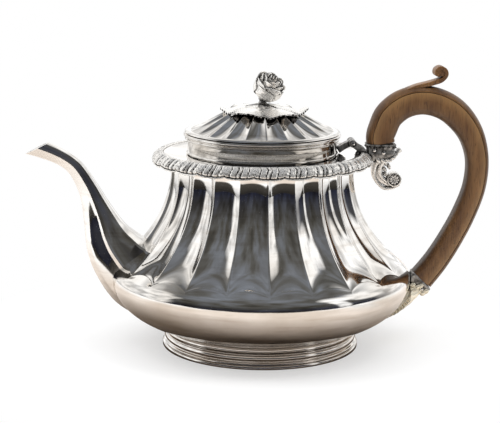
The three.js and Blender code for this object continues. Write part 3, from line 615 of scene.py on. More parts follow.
def makeDome():
    bm = bmesh.new()
    outer = lid["rim"] - 0.55
    radii = [outer - 0.25 * i for i in range(22)]
    radii += [radii[-1] + (lid["topRadius"] - radii[-1]) * i / 34 for i in range(1, 35)] + [5.0, 2.3]
    inside = [3, 10, 18, 26, 34, 40, 44]
    columns = lid["flutes"] * lid["columnsPerFlute"]
    spun(bm, [(r, outerMark) for r in radii] + [(r, innerMark) for r in inside], columns)
    for vert in bm.verts:
        outside = vert.co.z > betweenMarks
        turn = atan2(vert.co.x, -vert.co.y)
        u = panelPlace(turn, lid["flutes"])
        panel = turn - u * pi / lid["flutes"]
        u = (1 if u >= 0 else -1) * (1 - (1 - abs(u)) ** 1.6)
        turn = panel + u * pi / lid["flutes"]
        radius = hypot(vert.co.x, vert.co.y)
        z = domeHeight(radius, u) if outside else domeHeight(radius, u) - lid["wall"]
        vert.co = (radius * sin(turn), -radius * cos(turn), z)
    finishPiece(bm, "lid_dome_shell", "lid", silver, ("lid_dome",), 60)


def makeLidBand():
    bm = bmesh.new()
    outer = [(lid["rim"] + inset, bandLow.z + z) for inset, z in lid["band"]]
    inner = [(lid["rim"] - 3.4, bandHigh.z), (lid["rim"] - 3.6, bandLow.z + 9),
             (lid["rim"] - 3.6, bandLow.z + 0.3)]
    spun(bm, outer + inner, 192)
    finishPiece(bm, "lid_band_moulding", "lid", silver, ("lid_band",), 55)


def makeBezel():
    bm = bmesh.new()
    low, high = cad("lid_bezel")
    collar = plate["mouth"] - 0.7
    seat = high.x
    profile = [
        (collar, high.z - 1.9), (collar, low.z + 2), (collar - 0.35, low.z + 0.25), (collar - 0.6, low.z),
        (collar - 1.2, low.z), (collar - 1.45, low.z + 0.3), (collar - 1.2, high.z - 0.4),
        (collar - 0.8, high.z),
        (seat, high.z), (seat, high.z - 1.9),
    ]
    spun(bm, profile, 160)
    finishPiece(bm, "lid_bezel_collar", "lid", silver, ("lid_bezel",), 50)


makeDome()
makeLidBand()
makeBezel()
print("lid made")

leafHigh = cad("finial_leaves")[1]
stemLow = cad("finial_stem")[0]
roseLow = cad("finial_rose")[0]
leaves = dict(count=6, reach=26.5, root=2.4, width=11.6, tipLift=1.9, droop=3.7, thickness=0.75, teeth=20,
              toothDepth=0.7)


def makeLeaves():
    bm = bmesh.new()
    spec = leaves
    across, along = 14, 2 * spec["teeth"]
    hollow = bm.verts.layers.float.new("hollow")
    for k in range(spec["count"]):
        made = bmesh.ops.create_grid(bm, x_segments=along, y_segments=across, size=1)["verts"]
        azimuth = radians(30 + 60 * k)
        raised = 0.4 if k % 2 else 0.0
        longer = 1.05 if sin(azimuth) > 0.3 else 0.97
        for vert in made:
            t, s = (vert.co.x + 1) / 2, vert.co.y
            tooth = spec["toothDepth"] * (round(t * along) % 2) * smooth(0.12, 0.3, t) * abs(s) ** 6
            width = spec["width"] * sin(pi * (0.02 + 0.96 * t) ** 1.35) ** 0.55
            width = max(width, 0.25)
            side = s * (width + tooth * 1.2)
            out = spec["root"] + (spec["reach"] * longer - spec["root"]) * t
            z = leafHigh.z + 0.55 - spec["droop"] * smooth(0.05, 0.75, t)
            z += spec["tipLift"] * smooth(0.72, 1.0, t) * (0.5 + 0.5 * abs(sin(azimuth)) ** 3)
            z -= 0.022 * side * side * (1 - 0.4 * t)
            z += 0.5 * bump(s, 0.07) * (1 - t)
            vert[hollow] = 0.6 * (1 - round(t * along) % 2) * smooth(0.8, 0.9,
                                                                     abs(s)) + 0.25 * smooth(0.35, 0.0, t)
            veins = cos((t * 26 - abs(s) * 7)) * (0.16 * smooth(0.05, 0.2, abs(s)))
            z += veins * (1 - 0.4 * t) + raised
            vert.co = (out * sin(azimuth) + side * cos(azimuth),
                       -out * cos(azimuth) + side * sin(azimuth), z)
    # nothing dips into the dome below
    for vert in bm.verts:
        radius = hypot(vert.co.x, vert.co.y)
        vert.co.z = max(vert.co.z, ridgeHeight(radius) + 0.55)
    bmesh.ops.recalc_face_normals(bm, faces=bm.faces)
    bmesh.ops.solidify(bm, geom=bm.faces[:], thickness=spec["thickness"])
    finishPiece(bm, "finial_leaf_spray", "lid", cast, ("finial_leaves",), 50)


def makeStem():
    bm = bmesh.new()
    low, high = stemLow.z, roseLow.z + 2.4
    profile = [(0, low - 1.2), (4.2, low - 1.0), (4.4, low - 0.2), (3.2, low + 0.8), (2.2, low + 2.2),
               (2.0, low + 3.2),
               (2.6, low + 3.7), (2.6, low + 4.2), (2.1, high - 0.9), (2.8, high), (0, high)]
    spun(bm, profile, 40, closed=False)
    finishPiece(bm, "finial_stalk", "lid", darkCast, ("finial_stem",), 50)


# whorls of the rose from the outside in: petals, first azimuth, half width in degrees, foot and top heights,
# radius at the belly and at the rim, outward curl
rose = dict(
    lean=27, nod=24, centre=(0.6, 1.2),
    whorls=[
        (4, 75, 56, 0.2, 8.6, 9.0, 10.2, 1.2), (5, 20, 44, 0.8, 11.4, 8.6, 9.8, 1.6),
        (5, 56, 42, 1.4, 13.0, 7.8, 8.2, 1.0),
        (4, 15, 50, 2.0, 14.0, 6.5, 6.4, 0.7), (4, 60, 48, 3.0, 14.6, 5.1, 4.6, 0.4),
        (3, 30, 62, 4.0, 15.0, 3.7, 2.9, 0.2),
        (3, 90, 60, 5.0, 15.2, 2.3, 1.5, 0.1),
    ],
    thickness=0.5,
)


def makeRose():
    bm = bmesh.new()
    for count, first, halfWidth, base, top, belly, rim, curl in rose["whorls"]:
        for k in range(count):
            made = bmesh.ops.create_grid(bm, x_segments=12, y_segments=14, size=1)["verts"]
            middle = radians(first + 360 * k / count)
            lift = 0.5 * sin(k * 2.3 + first)
            for vert in made:
                s, t = vert.co.x, (vert.co.y + 1) / 2
                rounded = t * sqrt(max(0.05, 1 - 0.55 * abs(s) ** 3))
                z = base + (top + lift - base) * rounded
                angle = middle + radians(halfWidth) * s * (1 - 0.25 * (1 - t))
                swell = sin(pi * clamp(0.12 + 0.68 * t)) ** 0.6
                radius = 1.2 + (belly - 1.2) * swell + (rim - belly) * smooth(0.55, 1.0, t)
                radius += curl * smooth(0.8, 1.0, t) ** 2 + 0.35 * s - 0.5 * abs(s) ** 3
                radius += 0.12 * sin(5 * s + k)
                vert.co = (radius * sin(angle), -radius * cos(angle), z)
    bmesh.ops.recalc_face_normals(bm, faces=bm.faces)
    bmesh.ops.solidify(bm, geom=bm.faces[:], thickness=rose["thickness"])
    ball(bm, (4.6, 4.6, 4.2), (0, 0, 5.2), 20)
    turn = Matrix.Rotation(radians(rose["lean"]), 4, "Y") @ Matrix.Rotation(radians(rose["nod"]), 4, "X")
    place = Matrix.Translation((rose["centre"][0], rose["centre"][1], roseLow.z + 0.6))
    bmesh.ops.transform(bm, matrix=place @ turn, verts=bm.verts)
    finishPiece(bm, "finial_rose_petals", "lid", cast, ("finial_rose",), 60)


makeLeaves()
makeStem()
makeRose()
print("finial made")

pinLow, pinHigh = cad("hinge_pin")
pinX, pinZ = (pinLow.x + pinHigh.x) / 2, (pinLow.z + pinHigh.z) / 2
lidStrapLow = cad("hinge_lid_strap")[0]
bodyStrapLow, bodyStrapHigh = cad("hinge_body_strap")
hinge = dict(knuckle=2.3, lidWidth=6.0, bodyWidth=13.0, gap=0.6, half=1.8)


def makeLidStrap():
    bm = bmesh.new()
    path = [(lidStrapLow.x + 0.2, lidStrapLow.z - 0.2), (pinX - 4.4, pinZ - 2.0),
            (pinX - 0.6, pinZ - 0.2)]
    sweep(bm, path, 8, lambda t: barSection(hinge["half"], hinge["lidWidth"] / 2, 0.5))
    knuckle = cylinder(bm, hinge["knuckle"], hinge["lidWidth"], pinX, 0, pinZ, 28)
    roundEdges(bm, knuckle, 0.35, 2)
    finishPiece(bm, "hinge_strap_lid", "lid", darkCast, ("hinge_lid_strap",), 45)


def makeBodyStrap():
    bm = bmesh.new()
    offset = (hinge["bodyWidth"] + hinge["lidWidth"] + hinge["gap"]) / 4
    half = (hinge["bodyWidth"] - hinge["lidWidth"] - hinge["gap"]) / 4
    for side in (-1, 1):
        path = [(pinX + 0.6, pinZ - 0.6), (pinX + 4.0, pinZ - 3.2),
                (bodyStrapHigh.x - 1.6, bodyStrapLow.z + 3.4),
                (bodyStrapHigh.x - 1.3, bodyStrapLow.z + 0.4)]
        arm = [(n, y + side * offset) for n, y in barSection(hinge["half"], half, 0.5)]
        sweep(bm, path, 12, lambda t: arm)
        knuckle = cylinder(bm, hinge["knuckle"], 2 * half, pinX, side * offset, pinZ, 28)
        roundEdges(bm, knuckle, 0.35, 2)
    path = [(bodyStrapHigh.x - 3.4, bodyStrapLow.z + 5.0), (bodyStrapHigh.x - 1.4, bodyStrapLow.z + 0.3)]
    sweep(bm, path, 4, lambda t: barSection(hinge["half"], hinge["bodyWidth"] / 2 - 0.2, 0.5))
    finishPiece(bm, "hinge_strap_body", "teapot", darkCast, ("hinge_body_strap",), 45)


def makeHingePin():
    bm = bmesh.new()
    cylinder(bm, 0.93, pinHigh.y - pinLow.y - 0.4, pinX, 0, pinZ, 20)
    for side in (-1, 1):
        ball(bm, (1.35, 0.55, 1.35), (pinX, side * (pinHigh.y - 0.45), pinZ), 20)
    finishPiece(bm, "hinge_pin_rivet", "teapot", silver, ("hinge_pin",), 50)


makeLidStrap()
makeBodyStrap()
makeHingePin()
print("hinge made")

woodLow, woodHigh = cad("handle_wood")
handle = dict(
    upper=(72.8, 126.1), lower=(100.7, 40.0), reach=60.7, width=17.0, lowerWidth=14.4,
    depth=woodHigh.y - woodLow.y,
    # how far up from the lower joint to the upper one, and how far out from the line between them
    line=[(1, 0), (1.045, 0.012), (1.1, 0.06), (1.2, 0.17), (1.28, 0.352), (1.309, 0.554), (1.278, 0.736),
          (1.196, 0.87),
          (1.06, 0.95), (0.881, 0.938), (0.684, 0.83), (0.492, 0.65), (0.313, 0.444), (0.137, 0.213),
          (0, 0)],
    grip=[1, 1, 1.03, 1.05, 1.05, 1.04, 1.03, 1.02],
    lowerGrip=[1.08, 0.98, 0.965, 0.98, 1.01, 1.04, 1.07],
    steps=110,
)


def handlePoint(rise, out):
    x = handle["lower"][0] + (handle["upper"][0] - handle["lower"][0]) * rise + out * handle["reach"]
    return (x, handle["lower"][1] + (handle["upper"][1] - handle["lower"][1]) * rise)


handlePath = [handlePoint(rise, out) for rise, out in handle["line"]]
gripHalves = [(k * handle["width"] / 2,) for k in handle["grip"]] + [(k * handle["lowerWidth"] / 2,)
                                                                     for k in handle["lowerGrip"]]


def woodSection(t):
    # inner edge softly rounded; the outer edge is a raised strip set off by a fine quirk
    half, deep = spline(gripHalves, t)[0], handle["depth"] / 2
    side = [(-1, 0.0), (-1, 0.4), (-0.96, 0.66), (-0.87, 0.84), (-0.72, 0.95), (-0.5, 1.0), (0.0, 1.0),
            (0.53, 1.0),
            (0.565, 0.985), (0.585, 0.925), (0.61, 0.925), (0.63, 0.97), (0.7, 0.96), (0.78, 0.88),
            (0.87, 0.7),
            (0.95, 0.46), (0.99, 0.2), (1, 0.0)]
    ring = side + [(n, -y) for n, y in side[-2:0:-1]]
    return [(-n * half, y * deep) for n, y in ring]


thumb = dict(
    path=[(88, 159.0), (94, 161.0), (99.5, 162.2), (104, 163.4), (108.4, 165.0), (111.2, 168.0),
          (110.8, 171.0),
          (108.2, 172.5), (105.7, 171.2), (105.4, 168.8), (107.4, 167.9)],
    halves=[(0.8,), (1.1,), (1.3,), (1.35,), (1.4,), (1.3,), (1.2,), (1.15,), (1.15,), (1.1,), (0.9,)],
    depth=9.4, eyeX=108.2, eyeZ=169.8,
)


def makeHandle():
    bm = bmesh.new()
    # 1 is painted shade and -1 a painted highlight; listed from the inside of the bend to the outside
    side = [1, 0.95, 0.8, 0.6, 0.4, 0.2, 0.0, -0.7, -1.0, 0.9, 0.7, -0.3, 0.35, 0.5, 0.55, 0.55, 0.55,
            0.55]
    sweep(bm, handlePath, handle["steps"], woodSection, marks=side + side[-2:0:-1])
    # tenons that go into the sockets
    for place, turn, size in (
        (handle["upper"], 0, (handle["width"] - 2.8, handle["depth"] - 2.8, 9.4)),
        (handle["lower"], 45, (handle["lowerWidth"] - 2.8, handle["depth"] - 2.8, 4.6)),
    ):
        matrix = (Matrix.Translation((place[0], 0, place[1])) @ Matrix.Rotation(radians(turn), 4, "Y")
                  @ Matrix.Translation((0, 0, -size[2] / 2 + 0.3)) @ Matrix.Diagonal((*size, 1)))
        bmesh.ops.create_cube(bm, size=1, matrix=matrix)
    # thumb scroll: a strip that peels off the crest and rolls up
    def section(t):
        half = spline(thumb["halves"], t)[0]
        flare = 1 + 0.12 * smooth(0.35, 0.6, t)
        return barSection(half, thumb["depth"] / 2 * flare, min(0.6, half * 0.7))
    sweep(bm, thumb["path"], 60, section)
    eye = cylinder(bm, 2.3, thumb["depth"] * 1.06, thumb["eyeX"], 0, thumb["eyeZ"], 28)
    roundEdges(bm, eye, 0.5, 3)
    finishPiece(bm, "handle_grip", "teapot", wood, ("handle_wood",), 30)


makeHandle()
print("handle made")

socketLow, socketHigh = cad("upper_socket")
socket = dict(top=socketHigh.z, bottom=socketLow.z, half=handle["width"] / 2, deep=handle["depth"] / 2)


def makeUpperSocket():
    bm = bmesh.new()
    x, half, deep = handle["upper"][0], socket["half"], socket["deep"]
    span = socket["top"] - socket["bottom"]
    rows = [(0, 0.35), (0.03, 0.6), (0.09, 0.6), (0.13, 0.1), (0.2, -0.2), (0.42, -0.3), (0.52, 0.15),
            (0.6, 0.2),
            (0.66, -0.4), (0.76, -1.0), (0.86, -1.8), (0.94, -3.0), (1.0, -4.4)]
    rings = []
    for down, swell in rows:
        ring = []
        outline = barSection(half + swell, deep + swell, 2.6, 6)
        for i, (n, y) in enumerate(outline):
            around = atan2(y, n)
            lobe = 0.5 + 0.5 * cos(around * 8)
            z = socket["top"] - span * down - 1.1 * lobe * smooth(0.55, 0.9, down)
            bulge = 1 + 0.035 * lobe * smooth(0.3, 0.7, down)
            ring.append((x + n * bulge, y * bulge, z))
        rings.append(ring)
    loft(bm, rings)
    # beads under the lip
    for k in range(22):
        angle = tau * k / 22
        n, y = (half + 0.2) * cos(angle), (deep + 0.2) * sin(angle)
        stretch = min((half + 0.3) / max(abs(n), 1e-6), (deep + 0.3) / max(abs(y), 1e-6))
        ball(bm, (0.62, 0.62, 0.55), (x + n * stretch, y * stretch, socket["top"] - 2.0), 8)
    finishPiece(bm, "socket_upper_casting", "teapot", darkCast, ("upper_socket",), 50)


def makePins():
    for name in ("upper_pin_1", "upper_pin_2", "lower_pin"):
        low, high = cad(name)
        x, z = (low.x + high.x) / 2, (low.z + high.z) / 2
        bm = bmesh.new()
        cylinder(bm, 0.88, high.y - low.y - 0.6, x, 0, z, 20)
        for side in (-1, 1):
            ball(bm, (1.15, 0.7, 1.15), (x, side * (high.y - 0.45), z), 20)
        finishPiece(bm, name + "_rivet", "teapot", silver, (name,), 50)


bracketLow, bracketHigh = cad("handle_bracket")


def makeBracket():
    bm = bmesh.new()
    path = [(bracketLow.x - 1.0, bracketLow.z + 3.2), (bracketLow.x + 3.0, bracketLow.z + 4.2),
            (bracketHigh.x - 4.6, bracketHigh.z - 3.2), (bracketHigh.x - 2.2, bracketHigh.z + 1.0)]
    halves = [(3.4,), (2.8,), (2.5,), (2.6,)]
    sweep(bm, path, 16, lambda t: barSection(spline(halves, t)[0], 4.0 - 0.5 * sin(pi * t), 1.2))
    finishPiece(bm, "bracket_arm", "teapot", darkCast, ("handle_bracket",), 45)


scrollLow, scrollHigh = cad("socket_scroll")
rosetteLow, rosetteHigh = cad("scroll_rosette")
rosetteX, rosetteZ = (rosetteLow.x + rosetteHigh.x) / 2, (rosetteLow.z + rosetteHigh.z) / 2
scroll = dict(depth=scrollHigh.y - scrollLow.y)


def makeScroll():
    bm = bmesh.new()
    x0, z0, deep = scrollLow.x, scrollHigh.z, scroll["depth"] / 2
    rim = [(x0 + 3.4, z0 + 0.6), (x0 + 0.9, z0 - 2.2), (x0 + 0.1, z0 - 6.2), (x0 + 0.7, z0 - 10.4),
           (x0 + 3.2, z0 - 14.4),
           (x0 + 7.2, z0 - 17.2), (rosetteX - 0.5, rosetteZ - 5.1), (rosetteX + 3.4, rosetteZ - 3.4)]
    halves = [(1.5,), (1.3,), (1.1,), (1.0,), (1.0,), (0.95,), (0.8,), (0.5,)]
    sweep(bm, rim, 48, lambda t: barSection(spline(halves, t)[0], deep * (1 - 0.25 * t), 0.7))
    # a second band runs inside the rim, with a furrow between them
    inner = [(x0 + 6.2, z0 + 0.8), (x0 + 4.1, z0 - 3.0), (x0 + 3.7, z0 - 6.8), (x0 + 5.2, z0 - 10.4),
             (rosetteX - 4.0, rosetteZ - 1.6)]
    sweep(bm, inner, 40, lambda t: barSection(1.5 - 0.5 * t, deep * (0.92 - 0.2 * t), 0.8))
    floorOfCurl = [(x0 + 4.6, z0 + 0.4), (x0 + 3.0, z0 - 5.4), (x0 + 4.4, z0 - 11.0),
                   (rosetteX - 2.0, rosetteZ - 3.2)]
    sweep(bm, floorOfCurl, 20, lambda t: barSection(3.4 - 1.4 * t, deep * 0.55, 0.9))
    # leaf tips turn in from the band towards the rosette
    for dx, dz, tilt, size in ((7.4, -1.6, 62, 2.4), (6.6, -5.2, 44, 2.5), (7.6, -8.6, 22, 2.2),
                               (9.6, -3.6, 70, 2.3)):
        turn = Matrix.Rotation(radians(tilt), 4, "Y")
        ball(bm, (size, deep * 0.8, 1.25), (x0 + dx, 0, z0 + dz), 20, turn)
    # leaf lobes lapping up over the sides of the socket
    for side in (-1, 1):
        for dx, dz, tilt, size in ((2.2, 0.8, 62, 2.4), (5.4, 0.4, 40, 2.6), (8.6, 0.9, 10, 2.4),
                                   (11.4, 2.4, -24, 2.0)):
            turn = Matrix.Rotation(radians(tilt), 4, "Y")
            ball(bm, (size, 1.15, 1.15), (x0 + dx, side * (deep + 1.0 + 0.25 * dz), z0 + dz), 18, turn)
    finishPiece(bm, "scroll_acanthus", "teapot", cast, ("socket_scroll",), 50)


def makeRosette():
    bm = bmesh.new()
    radius, deep = (rosetteHigh.x - rosetteLow.x) / 2, rosetteHigh.y
    half = [(0, deep - 1.3), (radius - 1.35, deep - 1.3), (radius - 1.05, deep - 1.15),
            (radius - 0.95, deep - 0.45),
            (radius - 0.7, deep - 0.15), (radius - 0.3, deep - 0.2), (radius, deep - 0.7)]
    spun(bm, half + [(r, -y) for r, y in reversed(half)], 48, closed=False)
    bmesh.ops.transform(bm, verts=bm.verts,
                        matrix=Matrix.Translation((rosetteX, 0, rosetteZ)) @ Matrix.Rotation(pi / 2, 4,
                                                                                             "X"))
    for side in (-1, 1):
        face = side * (deep - 1.0)
        for k in range(9):
            angle = tau * k / 9
            turn = Matrix.Rotation(-angle, 4, "Y")
            ball(bm, (1.2, 0.62, 0.74), (rosetteX + 2.2 * cos(angle), face, rosetteZ + 2.2 * sin(angle)),
                 14, turn)
        for k in range(5):
            angle = tau * (k + 0.5) / 5
            ball(bm, (0.62, 0.6, 0.5), (rosetteX + 1.05 * cos(angle), face + side * 0.1,
                                        rosetteZ + 1.05 * sin(angle)), 12)
        ball(bm, (0.7, 0.7, 0.7), (rosetteX, face + side * 0.2, rosetteZ), 12)
    finishPiece(bm, "scroll_rosette_flower", "teapot", cast, ("scroll_rosette",), 50)


def makeSocketLeaf():
    bm = bmesh.new()
    low, high = cad("socket_leaf")
    path = [(low.x - 1.0, high.z - 4.8), (low.x + 0.6, high.z - 4.0), (low.x + 1.9, high.z - 1.8),
            (high.x - 0.8, high.z - 0.5),
            (high.x - 0.1, high.z - 1.6), (high.x - 1.1, high.z - 2.6)]
    halves = [(1.3,), (1.1,), (0.9,), (0.75,), (0.65,), (0.5,)]
    sweep(bm, path, 26, lambda t: barSection(spline(halves, t)[0], 3.4 - 0.9 * t, 0.5))
    for k in range(4):
        here = spline(path, 0.15 + 0.2 * k)
        ball(bm, (0.95, 3.0 - 0.4 * k, 0.7), (here[0] + 0.5, 0, here[1] - 0.5), 14)
    finishPiece(bm, "socket_leaf_curl", "teapot", cast, ("socket_leaf",), 50)


makeUpperSocket()
makePins()
makeBracket()
makeScroll()
makeRosette()
makeSocketLeaf()

bowlRadiusAtHandle = bowlRadius(handle["lower"][1])


def makeLowerSocket():
    bm = bmesh.new()
    x, z = handle["lower"]
    half, deep = handle["lowerWidth"] / 2, handle["depth"] / 2
    place = Matrix.Translation((x, 0, z)) @ Matrix.Rotation(radians(45), 4, "Y")
    rows = [(0.0, 0.2), (-0.5, 0.55), (-1.2, 0.5), (-1.8, 0.1), (-3.2, 0.0), (-4.6, -0.3), (-5.4, -0.9),
            (-5.9, -2.2)]
    rings = []
    for height, swell in rows:
        outline = barSection(half + swell, deep + swell, 2.4, 6)
        ring = []
        for n, y in outline:
            lobe = 0.5 + 0.5 * cos(atan2(y, n) * 8)
            down = height - 0.9 * lobe * smooth(-2.0, -5.0, height)
            ring.append(place @ Vector((n, y, down)))
        rings.append(ring)
    loft(bm, rings)
    # the boss that carries it on the bowl, with a rib on each side
    boss = [(bowlRadiusAtHandle - 1.6, z - 1.6), (bowlRadiusAtHandle + 1.6, z - 1.2), (x - 2.4, z - 1.4),
            (x - 0.4, z - 2.6)]
    halves = [(6.2,), (4.7,), (4.6,), (4.4,)]
    sweep(bm, boss, 14, lambda t: barSection(spline(halves, t)[0],
                                             spline([(6.4,), (5.0,), (5.2,), (5.6,)], t)[0], 3.2, 5))
    for side in (-1, 1):
        ball(bm, (0.9, 0.9, 4.2), (x - 3.4, side * 5.6, z - 0.6), 16)
    finishPiece(bm, "socket_lower_casting", "teapot", darkCast, ("lower_socket",), 50)


lowLeafLow, lowLeafHigh = cad("lower_leaf")
lowerLeaf = dict(topWidth=7.0, width=17.0, thickness=2.2, teeth=13)


def makeLowerLeaf():
    bm = bmesh.new()
    spec = lowerLeaf
    along, across = 2 * spec["teeth"], 24
    made = bmesh.ops.create_grid(bm, x_segments=along, y_segments=across, size=1)["verts"]
    top, bottom = lowLeafHigh.z + 0.8, lowLeafLow.z + 1.0
    for vert in made:
        t, s = (vert.co.x + 1) / 2, vert.co.y
        z = top + (bottom - top) * t
        spread = sin(pi * t ** 0.75) ** 0.8
        width = spec["topWidth"] + (spec["width"] - spec["topWidth"]) * spread * (1 - 0.25 * t)
        width *= 1 - smooth(0.8, 1.0, t) * 0.55
        tooth = 1.1 * (round(t * along) % 2) * abs(s) ** 8
        side = s * (width + tooth)
        turn = pi / 2 + side / (bowlRadius(z) + 2)
        ribs = 0.45 * cos(s * 11) * (1 - abs(s)) + 0.3 * cos(t * 30 - abs(s) * 6)
        crowned = (5.6 * (1 - t) ** 1.3 + 1.2) * (1 - abs(s) ** 3)
        stand = 1.7 + crowned + 0.5 * ribs + 0.7 * bump(abs(s) - 1, 0.12)
        radius = bowlRadius(z) + stand
        vert.co = (radius * sin(turn), -radius * cos(turn), z)
    bmesh.ops.recalc_face_normals(bm, faces=bm.faces)
    bmesh.ops.solidify(bm, geom=bm.faces[:], thickness=spec["thickness"])
    # its tips fold over the outside and the sides of the socket
    x, z = handle["lower"]
    half, deep = handle["lowerWidth"] / 2, handle["depth"] / 2
    lean = Matrix.Rotation(radians(45), 4, "Y")
    place = Matrix.Translation((x, 0, z)) @ lean
    for k in range(11):
        across = k / 5 - 1
        for row, down in ((0, 2.9), (1, 5.0)):
            spot = place @ Vector((half * (0.2 + 0.8 * (1 - across * across)) - 0.9 * row, across * deep,
                                   -down))
            ball(bm, (1.5, 1.0, 2.1), spot, 14, lean)
    for side in (-1, 1):
        for n, down in ((-2.4, 6.2), (0.4, 6.8), (3.0, 6.6), (5.6, 5.2), (6.2, 3.0)):
            spot = place @ Vector((n, side * (deep - 0.1), -down))
            ball(bm, (1.7, 1.0, 2.0), spot, 14, lean)
    finishPiece(bm, "leaf_lower_casting", "teapot", yellowCast, ("lower_leaf",), 60)


makeLowerSocket()
makeLowerLeaf()
print("fittings made")

for nodeName in ("base_disc", "finial_stud", "finial_washer", "finial_nut"):
    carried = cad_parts[nodeName]
    carried.data.materials.clear()
    carried.data.materials.append(silver)

studio = dict(
    place=(-58.55, -898.1, 265.05), aim=(-7.0, 0.0, 83.0), roll=0.61, lens=107.14, sensor=36, floorHalf=6,
    floorSeen=0xFBFBFB, floorMirrored=0xE6DBD1, shadeMirrored=0x83766A, roomMirrored=0x45423E,
    windowSide=62,  # degrees from the front, towards the handle
    white=(1, 1, 1, 1), darkFloor=(0.016, 0.017, 0.028, 1), darkWall=(0.095, 0.092, 0.086, 1),
    ceiling=(0.16, 0.162, 0.167, 1), warm=(1.02, 1.0, 0.92, 1), cool=(0.93, 1.0, 1.12, 1),
)


def makeFloor():
    # pale paper; in the silver it shows darker and warmer than to the camera, with a painted shadow under
    # the pot, painted shade in front, where the room is dark, and whiter towards the sides
    bm = bmesh.new()
    bmesh.ops.create_grid(bm, x_segments=2, y_segments=2, size=studio["floorHalf"])
    mesh = bpy.data.meshes.new("floor")
    bm.to_mesh(mesh)
    bm.free()
    floorPiece = bpy.data.objects.new("floor", mesh)
    scene.collection.objects.link(floorPiece)
    material, tree, shader, place = startMaterial("pale_paper", Roughness=0.9, Specular_IOR_Level=0.0)
    x = addNode(tree, "SeparateXYZ", [place], out="X")
    y = addNode(tree, "SeparateXYZ", [place], out="Y")
    glossy = addNode(tree, "LightPath", out="Is Glossy Ray")
    fromCamera = addNode(tree, "LightPath", out="Is Camera Ray")
    # the painted shadow that the foot and the lower bowl mirror lies a little to the left
    shifted = addNode(tree, "VectorMath", [place, (-0.02, 0, 0)], out="Value", operation="DISTANCE")
    patchEdge = addNode(tree, "MapRange", [shifted, 0.07, 0.15, 0, 1])
    patch = addNode(tree, "Mix", {0: patchEdge, 6: linear(studio["shadeMirrored"]),
                                  7: linear(studio["floorMirrored"])}, **asColour)
    wide = addNode(tree, "MapRange", [addNode(tree, "Math", [x], operation="ABSOLUTE"), 0.14, 0.42, 0, 1])
    near = addNode(tree, "Mix", {0: wide, 6: patch, 7: studio["white"]}, **asColour)
    # painted shade on the paper in front, seen only in the silver
    inFront = addNode(tree, "MapRange", [y, -0.52, -0.38, 1, 0])
    mirrored = addNode(tree, "Mix", {0: inFront, 6: near, 7: linear(studio["roomMirrored"])}, **asColour)
    tone = addNode(tree, "Mix", {0: glossy, 6: linear(studio["floorSeen"]), 7: mirrored}, **asColour)
    tree.links.new(tone, shader.inputs["Base Color"])
    far = addNode(tree, "VectorMath", [place], out="Value", operation="LENGTH")
    fading = addNode(tree, "MapRange", [far, 0.05, 0.2, 0.5, 1])
    away = addNode(tree, "Math", [fading, fromCamera], operation="MULTIPLY")
    # the window's shine on the table, seen only in the silver
    side = radians(studio["windowSide"])
    across = addNode(tree, "VectorMath", [place, (cos(side), sin(side), 0)], out="Value",
                     operation="DOT_PRODUCT")
    offLine = addNode(tree, "Math", [across], operation="ABSOLUTE")
    narrow = addNode(tree, "MapRange", [offLine, 0.045, 0.02, 0, 1])
    outwards = addNode(tree, "MapRange", [x, 0.12, 0.2, 0, 1])
    stripe = addNode(tree, "Math", [narrow, outwards], operation="MULTIPLY")
    shine = addNode(tree, "Math", [stripe, glossy], operation="MULTIPLY")
    away = addNode(tree, "Math", [away, shine], operation="MAXIMUM")
    bright = addNode(tree, "Emission", {"Strength": 1.0})
    both = addNode(tree, "MixShader", [away, shader.outputs[0], bright])
    tree.links.new(both, tree.nodes["Material Output"].inputs["Surface"])
    mesh.materials.append(material)


